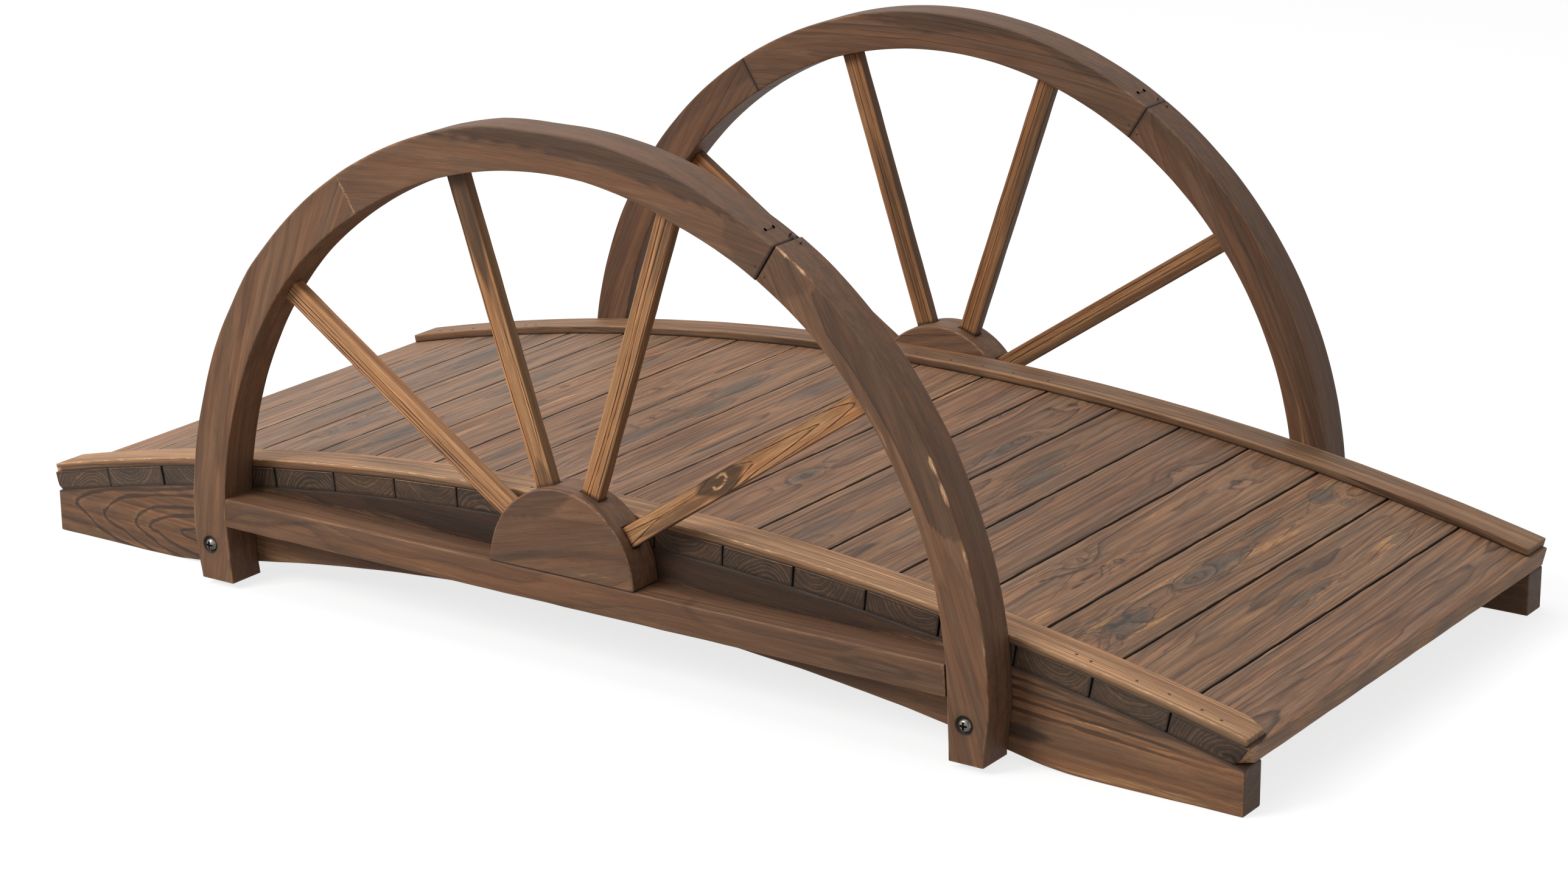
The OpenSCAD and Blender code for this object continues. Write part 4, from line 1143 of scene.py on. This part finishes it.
def make_rail(side, seed):
    """Rail between the legs: its fibres run along x and end on the rim's inner circle."""
    bar = Bar(np.linspace(0, 1, 160), RAIL_H / 2, RAIL_T / 2, arris=1.3, seed=seed, length=600.0, n_wide=12,
              n_thick=12, end=0.4)
    z = RAIL_Z + RAIL_H / 2 + bar.q
    reach = np.sqrt(RIM_IN_R ** 2 - (z - RIM_CENTRE_Z) ** 2)
    x = np.clip(-reach + 2 * reach * bar.u + bar.d, -reach, reach)
    sign = SIDES[side]
    points = np.stack([x, sign * WHEEL_Y + bar.t, z], axis=-1)
    grain = wood_grain(x, (z - RAIL_Z) * 0.8, bar.t * sign, (18.0, -30.0), (0.012, 0.012), bend=0.25,
                       shift=seed * 389.0, swell=[(-240, 8, 5, 60, 10), (120, 4, 4, 110, 9)])
    marks = wood_marks(x, z, [("ash", 250, 55, 40, 7, 0.3), ("honey", -120, 50, 90, 3, 0.25)])
    streak = np.interp(x, [-300, -288, -262, -241, -220, -190], [51, 52.7, 55.2, 60.2, 64.3, 67])
    smoke_and_shade = 0.62 * unit(1.6 - np.abs(z - streak) / 1.5) * unit((-205 - x) / 20)
    smoke_and_shade = np.maximum(smoke_and_shade, 0.25 * (z > streak) * unit((-225 - x) / 20))
    oval = np.hypot((x - 145) / 44.0, (z - 71) / 17.0)
    smoke_and_shade = most(smoke_and_shade, 0.5 * unit(1.5 - np.abs(oval - 1) * 9.0) * np.interp(x,
            [96, 118, 150, 165, 190, 200], [1, 0.8, 0.1, 0.5, 0.6, 0]), 0.22 * unit((x - 60) / 40))
    top = unit((bar.q - RAIL_H / 2 + 1.0) / 0.8)
    # painted shade on the rail's top beside the hub, and towards its back against the stringer
    under_hub = fade(np.abs(np.abs(x) - HUB_R), 4.0) * top
    back = top * unit((-bar.t * sign + 6.0) / 12.0)
    end_line = 0.5 * fade(np.abs(reach - np.abs(x) - 1.4), 1.2) * (x < 0) * (bar.t * sign > RAIL_T / 2 - 1.5)
    smoke_and_shade = np.maximum(smoke_and_shade * (bar.t * sign > 0), np.maximum(0.5 * under_hub, 0.4 * back))
    worn = bar.worn * (1 - 0.8 * (np.abs(x) < HUB_R) * top)
    wooden(f"rail_{side}", bar.faces, points, WHEEL_FIR, "wheel_wood", (0.94, 0.88, 0.83), 0.6 * bar.cap,
           grain, marks, (worn, end_line, smoke_and_shade))


def make_hub(side, seed):
    """Half-round hub: rings of its outline from the middle of the front face out over the arris, across the
    thickness and in again.

    Round the outline runs the half circle and the flat base. Where a spoke enters, the points inside its
    socket are pushed in along the spoke.
    """
    sign = SIDES[side]
    arris = 1.6
    half_w, half_t = SPOKE_W / 2 + SOCKET_CLEAR, SPOKE_T / 2 + SOCKET_CLEAR
    # angles round the arc, with a pair of lines at each edge of each socket
    edges = []
    for a in SPOKE_ANGLES:
        off = math.degrees(math.asin(half_w / HUB_R))
        edges += [a - off - 0.04, a - off + 0.04, a + off - 0.04, a + off + 0.04]
    angles = np.unique(np.round(np.r_[np.linspace(0, 180, 121), edges], 5))
    arc = np.stack([np.cos(np.radians(angles)), np.sin(np.radians(angles))], axis=1) * HUB_R
    base = np.stack([np.linspace(-HUB_R, HUB_R, 49)[1:-1], np.zeros(47)], axis=1)
    outline = np.concatenate([arc, base])
    spoke_dir = np.zeros((len(outline), 2))
    in_socket = np.zeros(len(outline), bool)
    for k, a in enumerate(SPOKE_ANGLES):
        lo, hi = edges[4 * k + 1] - 0.001, edges[4 * k + 2] + 0.001
        chosen = np.r_[(angles >= lo) & (angles <= hi), np.zeros(len(base), bool)]
        in_socket |= chosen
        spoke_dir[chosen] = (math.cos(math.radians(a)), math.sin(math.radians(a)))
    # profile from the front face's middle to the back face's: (share of the outline's reach, draw-in, y)
    turn = np.linspace(0, np.pi / 2, 5)
    draw = np.r_[np.zeros(9), arris * (1 - np.sin(turn)), np.zeros(14), arris * (1 - np.sin(turn))[::-1],
                 np.zeros(9)]
    share = np.r_[np.linspace(0.06, 0.97, 9), np.ones(24), np.linspace(0.97, 0.06, 9)]
    flat = np.sort(np.r_[np.linspace(-RAIL_T / 2 + arris, RAIL_T / 2 - arris, 12)[1:-1], -half_t - 0.05,
                         -half_t + 0.05, half_t - 0.05, half_t + 0.05])
    y = np.r_[np.full(9, -RAIL_T / 2), -RAIL_T / 2 + arris * (1 - np.cos(turn)), flat,
              RAIL_T / 2 - arris * (1 - np.cos(turn))[::-1], np.full(9, RAIL_T / 2)]
    draw[:9], draw[-9:] = arris, arris
    middle = np.array([0.0, HUB_R * 0.38])
    reach = outline - middle
    size = np.linalg.norm(reach, axis=1, keepdims=True)
    rows = []
    for k in range(len(y)):
        ring = middle + reach * (share[k] * (1 - draw[k] / size))
        if abs(y[k]) < half_t:
            ring = ring - spoke_dir * SOCKET_DEPTH * in_socket[:, None]
        rows.append(ring)
    rings = np.stack(rows)
    rings[..., 1] = np.clip(rings[..., 1], 0, None)
    points = np.stack([rings[..., 0], np.broadcast_to((sign * WHEEL_Y + y)[:, None], rings.shape[:2]),
                       RAIL_TOP + rings[..., 1]], axis=-1)
    x, z, t = points[..., 0], points[..., 2], points[..., 1] - sign * WHEEL_Y
    grain = wood_grain(x, (z - RAIL_TOP) * 0.7, t * sign, (8.0, -46.0), (-0.17, 0.03), bend=1.0,
                       shift=seed * 401.0)
    marks = wood_marks(x, z, [("honey", 30, 73, 34, 3, 0.3, 0.1)])
    front = t * sign > RAIL_T / 2 - 3.0
    patch = z - np.interp(x, [-50, -43, -30, -14.5, -2, 8, 12], [100, 101.5, 103.5, 106.4, 113, 123, 130])
    band = np.abs(z - np.interp(x, [-54.5, -24.5, 13, 50.5], [69.5, 78.3, 84.5, 89.5]))
    smoke_and_shade = np.maximum(0.5 * unit(patch / 2.4 + 0.5), 0.45 * unit(1.7 - band / 2.4)) * front
    smoke_and_shade = np.maximum(smoke_and_shade, 0.05 * ~front)
    # painted shade inside the spokes' sockets
    sunk = np.zeros(x.shape)
    sunk[np.abs(y) < half_t] = in_socket * 0.85
    round_off = np.abs(np.linalg.norm(np.stack([x, z - RAIL_TOP]), axis=0) - HUB_R)
    edge = fade(np.maximum(np.abs(np.abs(t) - RAIL_T / 2), round_off), 4.0)
    # painted shade where the hub's base meets the rail
    seam = 0.95 * unit(1.6 - (z - RAIL_TOP) / 0.8)
    # painted shade round each spoke where it enters the hub
    near_spoke = np.zeros_like(x)
    for a in SPOKE_ANGLES:
        away = np.abs(-(x * math.sin(math.radians(a))) + (z - RAIL_TOP) * math.cos(math.radians(a))) - half_w
        near_spoke = np.maximum(near_spoke, fade(np.maximum(away, np.abs(t) - half_t), 1.6) * (round_off < 1)
                                * (x * math.cos(math.radians(a)) + (z - RAIL_TOP)
                                   * math.sin(math.radians(a)) > 0))
    # painted highlight along the arrises of the round, above the base
    pale = 0.5 * fade(np.abs(np.hypot(np.abs(t) - RAIL_T / 2, round_off)), 1.6) * (z > RAIL_TOP + 3)
    soot_and_shade = np.maximum.reduce([sunk, seam, 0.55 * near_spoke, smoke_and_shade * (pale < 0.2)])
    wooden(f"hub_{side}", ring_faces(*rings.shape[:2]), points, WHEEL_FIR, "wheel_wood", (0.99, 0.97, 0.96),
           0.0, grain, marks, (edge, pale, soot_and_shade))


# Looks of the spokes: pith, tilt of the fibres, scale, tone, marks along (from the hub's centre) and across,
# drawn lines, and smoke
SPOKE_LOOKS = {
    "spoke_near_1": ((-30.0, 18.0), 0.004, 0.8, (1.13, 1.10, 1.09), [], [(0.95, [(58, 7.0), (170, 6.9),
        (290, 6.3)]), (1.0, [(58, 5.5), (140, 5.3), (290, 4.5)]), (1.0, [(58, 3.1), (120, 2.6), (180, 2.8),
        (290, 2.2)]), (1.0, [(58, 0.2), (110, 0.5), (150, 0.0), (200, -0.6), (290, -0.9)])], []),
    "spoke_near_2": ((34.0, 9.0), 0.003, 1.2, (0.93, 0.91, 0.87), [("honey", 133, -0.6, 62, 5.6, 1.0),
        ("honey", 170, 8.8, 400, 2.4, 0.9)], [(1.0, [(58, 3.8), (108, 5.0), (158, 5.6), (275, 6.2)]),
        ([(75, 0), (88, 1), (160, 1), (172, 0.2), (280, 0.2)], [(88, -5.5), (108, -6.2), (141, -5.4),
        (161, -4.0), (175, -3.4), (280, -4.5)])], [(262, -0.6, 78, 9.5, 0.8), (58, -0.5, 24, 9.0, 0.5)]),
    "spoke_near_3": ((24.0, -10.0), -0.004, 1.5, (0.95, 0.93, 0.89), [("honey", 160, 5.0, 170, 3.4, 0.3)],
        [(1.0, [(58, 2.9), (75, 2.1), (108, 0.9), (141, 0.6), (175, 1.3), (200, 2.3), (225, 2.5),
        (265, 2.9)]), (1.0, [(58, 0.4), (83, -0.7), (125, -1.9), (158, -2.1), (191, -1.1), (225, -0.6),
        (265, -1.1)]), (1.0, [(58, -4.7), (91, -5.1), (133, -5.9), (175, -6.2), (208, -5.9), (265, -6.4)])],
        [(258, -4.0, 45, 7.0, 0.45)]),
    "spoke_near_4": ((24.0, 10.0), 0.0, 1.0, (0.95, 0.92, 0.87), [("honey", 232, 1.2, 56, 6.5, 1.0),
        ("honey", 92, 4.6, 50, 3.4, 1.0), ("honey", 66, -1.0, 24, 3.4, 0.9)], [([(58, 0.8), (148, 0.8),
        (152, 0)], [(58, 7.6), (100, 7.2), (133, 6.8), (150, 7.3)]), ([(58, 1), (146, 1), (152, 0)],
        [(58, 3.9), (75, 2.7), (91, 1.6), (116, 1.3), (128, 1.6), (134, 3.4), (141, 5.9), (148, 7.1),
        (156, 9.5)]), ([(58, 1), (90, 1), (96, 0)], [(58, -5.1), (68, -3.6), (78, -1.3), (90, 0.7),
        (100, 1.4)]), ([(58, 0.9), (138, 0.9), (150, 0)], [(58, -7.0), (91, -6.5), (125, -6.7), (141, -7.4)]),
        (1.0, 182, -1, [(0, 1.6, 1.6), (8, -1.0, 4.4), (16, -3.4, 6.0), (26, -6, 8.0), (40, -9, 11)]),
        (1.0, 243, -1, [(0, 1.3, 1.3), (10, 0.2, 2.6), (22, -1.3, 3.7), (43, -3.3, 4.9), (62, -4.4, 6.6),
        (82, -7.1, 7.5), (110, -11, 11)]), (1.0, 275.5, -1, [(0, 1.1, 1.1), (8, -0.9, 4.0), (17.5, -2.4, 5.7),
        (34, -4.5, 7.1), (67, -6.1, 8.5), (93, -7.1, 9.5)])], [(104, -3.2, 46, 4.2, 0.6),
        (151, 2.0, 25, 12.0, 0.85), (286, 1, 14, 12, 0.4)]),
    "spoke_far_1": ((30.0, 8.0), 0.004, 1.0, (0.68, 0.66, 0.63), [], [(0.9, [(58, 3), (290, 4)]), (0.7,
        [(58, -3), (290, -2)])], [(170, 6, 160, 2.4, 0.4)]),
    "spoke_far_2": ((-26.0, 9.0), 0.003, 1.2, (0.62, 0.59, 0.55), [("honey", 240, 4, 70, 2.6, 0.9)], [(0.9,
        [(58, 1), (290, 2)]), (0.9, [(58, -4), (290, -3)])], [(130, 0, 90, 5, 0.5)]),
    "spoke_far_3": ((30.0, -9.0), -0.003, 1.2, (0.62, 0.59, 0.55), [("honey", 170, 3, 110, 2.0, 0.7)], [(0.9,
        [(58, 0), (290, 1)]), (0.8, [(58, 5), (290, 5.5)])], [(220, -4, 90, 4, 0.5)]),
    "spoke_far_4": ((22.0, 10.0), 0.003, 1.0, (0.68, 0.65, 0.61), [("honey", 200, 3, 120, 2.2, 0.7)], [(0.9,
        [(58, 0.5), (290, 0)]), (0.9, [(58, 4.6), (290, 5)])], [(190, -5, 160, 4, 0.6)]),
}


def make_spoke(side, i, seed):
    """Spoke: straight fibres from the floor of the socket to the rim's inner circle, cut there to its curve.
    """
    name = f"spoke_{side}_{i + 1}"
    pith, tilt, scale, tone, places, lines, smoke_and_shade = SPOKE_LOOKS[name]
    a = math.radians(SPOKE_ANGLES[i])
    bar = Bar(np.linspace(0, 1, 110), SPOKE_W / 2, SPOKE_T / 2, arris=0.9, seed=seed, length=240.0,
              n_wide=23, n_thick=6, end=0.25)
    # the fibre at offset q starts at (px, pz) from the rim's centre and runs along (ux, uz). It meets the
    # inner circle at far, where s^2 + 2 b s + px^2 + pz^2 is the circle's radius squared
    ux, uz = math.cos(a), math.sin(a)
    px, pz = -bar.q * uz, RAIL_TOP - RIM_CENTRE_Z + bar.q * ux
    b = px * ux + pz * uz
    inner = RIM_IN_R + (float(drift(INNER_DRIFT, SPOKE_ANGLES[i] * 0.88 + 10.8)) if side == "near" else 0.0)
    far = -b + np.sqrt(b ** 2 - (px ** 2 + pz ** 2 - inner ** 2))
    near = HUB_R - SOCKET_DEPTH
    s = np.clip(near + (far - near) * bar.u + bar.d, near, far)
    points = np.stack([s * ux - bar.q * uz, SIDES[side] * WHEEL_Y + bar.t, RAIL_TOP + s * uz + bar.q * ux],
                      axis=-1)
    fresh_and_highlight = np.zeros_like(s)
    grain = wood_grain(s, bar.q, bar.t, pith, (tilt, 0.01), scale=scale, shift=seed * 211.0)
    figure = drawn_lines(s, bar.q, lines, 0.45)
    if name == "spoke_near_4":
        # a golden curl in the dark heart of the figure
        curl = np.hypot((s - 149.5 - 0.9 * bar.q) / 6.6, (bar.q - 1.6) / 4.2)
        fresh_and_highlight = unit(1.1 - np.abs(curl - 0.85) * 4.4) * (bar.t < 0) * ((s > 150)
                | (bar.q < 0.8)) * (bar.q < 6) * 0.8
    # painted shade on the side faces, at the foot inside the socket and at the end against the rim
    edge = unit((np.abs(bar.t) - SPOKE_T / 2 + 0.4) / 0.3)
    sooty_and_shaded = most(smoked(s, bar.q, smoke_and_shade) * (fresh_and_highlight < 0.2),
                 (0.15 if name == "spoke_near_1" else 0.5) * (1 - edge),
                 0.85 * unit((HUB_R + 1.6 - s) / 1.2),
                 0.75 * unit((s - far + 1.6) / 1.2))
    wooden(name, bar.faces, points, SPOKE_FIR, "spoke_wood", tone, bar.cap, grain,
           wood_marks(s, bar.q, places), (bar.worn, fresh_and_highlight, sooty_and_shaded), figure)


for plank_i in range(PLANK_N):
    make_plank(plank_i)
for side_name in SIDES:
    make_stringer(side_name)
    make_strip(side_name)
    offset = 0 if side_name == "near" else 40
    make_rim("rim_left", side_name, LEFT_JOINT, 180.0, -1, 101 + offset)
    make_rim("rim_top", side_name, RIGHT_JOINT, LEFT_JOINT, 0, 102 + offset)
    make_rim("rim_right", side_name, RIGHT_JOINT, 0.0, 1, 103 + offset)
    make_rail(side_name, 104 + offset)
    make_hub(side_name, 105 + offset)
    for spoke_i in range(4):
        make_spoke(side_name, spoke_i, 110 + offset + spoke_i)


# Nails along the strips, and nails and staples at the rim's right-hand joints

def iron():
    """Dull dark iron with a little rust."""
    material, w = new_material("nail_iron")
    place = w.add("ShaderNodeTexCoord").outputs["Object"]
    rust = w.noise(place, 900.0, 2.0, 0.6)
    tone = w.mix(w.step(rust, 0.45, 0.6), tone_of(52, 46, 42), tone_of(96, 66, 46))
    w.principled(Base_Color=tone, Metallic=0.6, Roughness=w.math("MULTIPLY_ADD", rust, 0.3, 0.4))
    return material


IRON = iron()


def make_nails(name, places, radius=1.15):
    """Nail heads as one piece: each is a low dome, radius r(k) and height h(k) on rings k from a buried edge
    to its top, closed by a cap.

    A place is (centre, up). The dome stands 0.35 mm above its centre and 0.5 mm below.
    """
    turn = np.linspace(0, 2 * np.pi, 12, endpoint=False)
    r = radius * np.array([0.9, 1.0, 0.92, 0.6, 0.2])
    h = np.array([-0.5, 0.0, 0.2, 0.33, 0.37])
    quads, caps = ring_faces(len(r), len(turn))
    points, faces = [], []
    for centre, up in places:
        up = np.asarray(up, float)
        side = np.cross(up, (0.0, 1.0, 0.0) if abs(up[1]) < 0.5 else (1.0, 0.0, 0.0))
        side /= np.linalg.norm(side)
        other = np.cross(up, side)
        rings = (np.asarray(centre) + r[:, None, None] * (np.cos(turn)[:, None] * side + np.sin(turn)[:,
                None] * other) + h[:, None, None] * up).reshape(-1, 3)
        base = len(points) * len(rings)
        faces += (quads + base).tolist() + [(cap + base).tolist() for cap in caps]
        points.append(rings)
    new_piece(name, np.concatenate(points), faces, IRON)


STAPLE_L, STAPLE_SUNK = 9.0, 0.1


def make_staples(name, places):
    """Staples as one piece: each is a flat wire crown, a bar laid along `way` on the surface whose normal is
    up.
    """
    wire = Bar(np.linspace(0, 1, 6), 0.55, 0.4, arris=0.25, seed=3, length=STAPLE_L, n_wide=2, n_thick=2,
               n_round=2, end=0.2)
    points, quads, ends = [], [], []
    for k, (centre, way, up) in enumerate(places):
        way, up = np.asarray(way, float), np.asarray(up, float)
        side = np.cross(up, way)
        s = (wire.u - 0.5) * STAPLE_L + wire.d
        points.append((np.asarray(centre) + s[..., None] * way + wire.q[..., None] * side
                       + (wire.t - STAPLE_SUNK)[..., None] * up).reshape(-1, 3))
        base = k * points[0].shape[0]
        quads += (wire.faces[0] + base).tolist()
        ends += [(e + base).tolist() for e in wire.faces[1]]
    new_piece(name, np.concatenate(points), quads + ends, IRON)


# Nails seen along the strips, by x, and how far each lies from the line of nails
STRIP_NAILS = {
    "near": [(373, 0.0), (384, 1.0), (416, 0.4), (438, -0.6), (461, 0.2), (475, 1.2)],
    "far": [(-6, 0.0), (24.5, -0.4), (52, 0.5), (79, -0.2), (109, 0.3)],
}


def nail_places(side, inset):
    """Where the nails go: the ones that are seen, and the same ones turned about the bridge's middle."""
    y = DECK_W / 2 - inset
    places = []
    for owner, nails in STRIP_NAILS.items():
        turn = 1 if owner == side else -1
        for x, off in nails:
            places.append(strip_point(math.asin(turn * x / STRIP_TOP_R), SIDES[side] * (y + off), -0.05))
    return places


for side_name in SIDES:
    make_nails(f"strip_nails_{side_name}", nail_places(side_name, 9.0 if side_name == "near" else 21.4))
    # the faces towards the front of the bridge
    face_y = SIDES[side_name] * WHEEL_Y - WHEEL_T / 2 + 0.02
    make_nails(f"joint_nails_{side_name}", [((x, face_y, z), (0.0, -1.0, 0.0)) for x,
                                            z in ((160.9, 303.5), (167.8, 297.4))], radius=0.85)
    crowns = []
    for degrees, y, crosswise in ((60.4, -1.5, True), (57.7, 6.5, False)):
        a = math.radians(degrees)
        up = (math.cos(a), 0.0, math.sin(a))
        reach = RIM_R + (float(drift(OUTER_DRIFT, degrees)) if side_name == "near" else 0.0)
        centre = (reach * up[0], SIDES[side_name] * WHEEL_Y + y, RIM_CENTRE_Z + reach * up[2])
        crowns.append((centre, (0.0, 1.0, 0.0) if crosswise else (-up[2], 0.0, up[0]), up))
    make_staples(f"joint_staples_{side_name}", crowns)


# Bolts: the solids' own shape, in worn steel

def steel():
    """Grey steel with darker hollows and fine scratches, and painted shade on the floor of the head's cross
    recess.
    """
    material, w = new_material("bolt_steel")
    place = w.add("ShaderNodeTexCoord").outputs["Object"]
    broad = w.noise(place, 260.0, 3.0, 0.6)
    scratch = w.noise(w.vector("MULTIPLY", place, (400.0, 400.0, 2600.0)), 1.0, 2.0, 0.7)
    tone = w.mix(w.step(broad, 0.4, 0.62), tone_of(132, 127, 119), tone_of(70, 66, 61))
    tone = w.mix(w.times(w.step(scratch, 0.55, 0.7), 0.3), tone, tone_of(176, 171, 162))
    parts = w.parts(place)
    # how far in from the head's top, and how far from the bolt's own line, in metres
    deep = w.math("SUBTRACT", BOLT_TOP_Y * 0.001, w.math("ABSOLUTE", parts[1]))
    off = w.math("SQRT", w.math("ADD",
                                w.math("POWER", w.math("SUBTRACT", w.math("ABSOLUTE", parts[0]),
            BOLT_X * 0.001), 2.0), w.math("POWER", w.math("SUBTRACT", parts[2], BOLT_Z * 0.001), 2.0)))
    # painted shade on the floor of the cross recess
    sunk = w.times(w.step(deep, 0.00135, 0.0015), w.step(off, 0.0037, 0.0034))
    tone = w.mix(sunk, tone, tone_of(14, 12, 11))
    rough = w.math("MULTIPLY_ADD", broad, 0.25, 0.2)
    w.principled(Base_Color=tone, Metallic=0.9, Roughness=rough, Normal=w.bump(scratch, 0.15, 0.0002))
    return material


STEEL = steel()
for side_name in SIDES:
    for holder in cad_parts[f"bolts_{side_name}"].material_slots:
        holder.material = STEEL


# Studio: pale floor, white surroundings, soft lamps, and the camera

def background_rays(w):
    """1 for the rays that see the background: from the camera, in a reflection or through glass."""
    path = w.add("ShaderNodeLightPath").outputs
    seen = w.math("ADD", path["Is Camera Ray"], path["Is Glossy Ray"])
    return w.math("ADD", seen, path["Is Transmission Ray"], clamp=True)


def frame_of(right, up, back, place):
    """The placing of a lamp or camera from its three directions and its place."""
    return Matrix([[*map(float, row)] for row in np.c_[right, up, back, place]] + [[0, 0, 0, 1]])


# Half the floor's width, and the lamps by name, place, size and power, all in metres and watts
FLOOR_HALF = 9
LAMPS = [("key", (-1.5, -2.6, 2.2), 1.6, 92.0), ("over", (-0.5, 0.3, 3.0), 2.4, 40.0)]
LAMP_AIM = (0.0, 0.0, 0.12)


def make_studio():
    """White surroundings, a floor that stays white but keeps a soft shadow, and two plain lamps."""
    world = bpy.data.worlds.new("white_room")
    world.use_nodes = True
    bpy.context.scene.world = world
    world.node_tree.nodes.clear()
    w = Web(world.node_tree)
    strength = w.math("MULTIPLY_ADD", background_rays(w), 0.66, 0.34)
    back = w.add("ShaderNodeBackground", {"Color": (1, 1, 1, 1), "Strength": strength})
    w.add("ShaderNodeOutputWorld", {"Surface": back.outputs[0]})

    mesh = bpy.data.meshes.new("floor")
    reach = FLOOR_HALF
    mesh.from_pydata([(-reach, -reach, 0), (reach, -reach, 0), (reach, reach, 0), (-reach, reach, 0)], [],
                     [(0, 1, 2, 3)])
    floor = bpy.data.objects.new("floor", mesh)
    bpy.context.scene.collection.objects.link(floor)
    material, w = new_material("pale_floor")
    diffuse = w.add("ShaderNodeBsdfDiffuse", {"Color": (0.30, 0.30, 0.30, 1)})
    glow = w.add("ShaderNodeEmission", {"Color": (1, 1, 1, 1), "Strength": w.times(background_rays(w), 0.78)})
    both = w.add("ShaderNodeAddShader")
    w.feed(both.inputs[0], diffuse.outputs[0])
    w.feed(both.inputs[1], glow.outputs[0])
    w.add("ShaderNodeOutputMaterial", {"Surface": both.outputs[0]})
    mesh.materials.append(material)

    for name, place, size, power in LAMPS:
        data = bpy.data.lights.new(name, "AREA")
        data.shape, data.size, data.energy = "SQUARE", size, power
        lamp = bpy.data.objects.new(name, data)
        aim = np.array(LAMP_AIM) - np.array(place)
        back = -aim / np.linalg.norm(aim)
        side = np.cross((0.0, 0.0, 1.0), back)
        side /= np.linalg.norm(side)
        up = np.cross(back, side)
        lamp.matrix_world = frame_of(side, up, back, place)
        bpy.context.scene.collection.objects.link(lamp)


# The photograph's width, and the lens's focal length by it, both in pixels
PHOTO_W, LENS_PX = 2576, 6114.663


def make_camera():
    """The photograph's view, found from the bridge's corners: a long lens from the front right, a little
    above.
    """
    place = (1.446468, -2.085337, 0.895910)
    yaw, pitch, roll = 0.6035443, -0.3038073, -0.0092213
    ahead = np.array((-math.sin(yaw) * math.cos(pitch), math.cos(yaw) * math.cos(pitch), math.sin(pitch)))
    level = np.array((math.cos(yaw), math.sin(yaw), 0.0))
    upright = np.cross(level, ahead)
    right = level * math.cos(roll) + upright * math.sin(roll)
    up = upright * math.cos(roll) - level * math.sin(roll)
    data = bpy.data.cameras.new("camera")
    data.sensor_width = 36.0
    data.lens = LENS_PX / PHOTO_W * data.sensor_width
    camera = bpy.data.objects.new("camera", data)
    camera.matrix_world = frame_of(right, up, -ahead, place)
    bpy.context.scene.collection.objects.link(camera)
    bpy.context.scene.camera = camera


make_studio()
make_camera()
bpy.context.scene.view_settings.view_transform = "Standard"
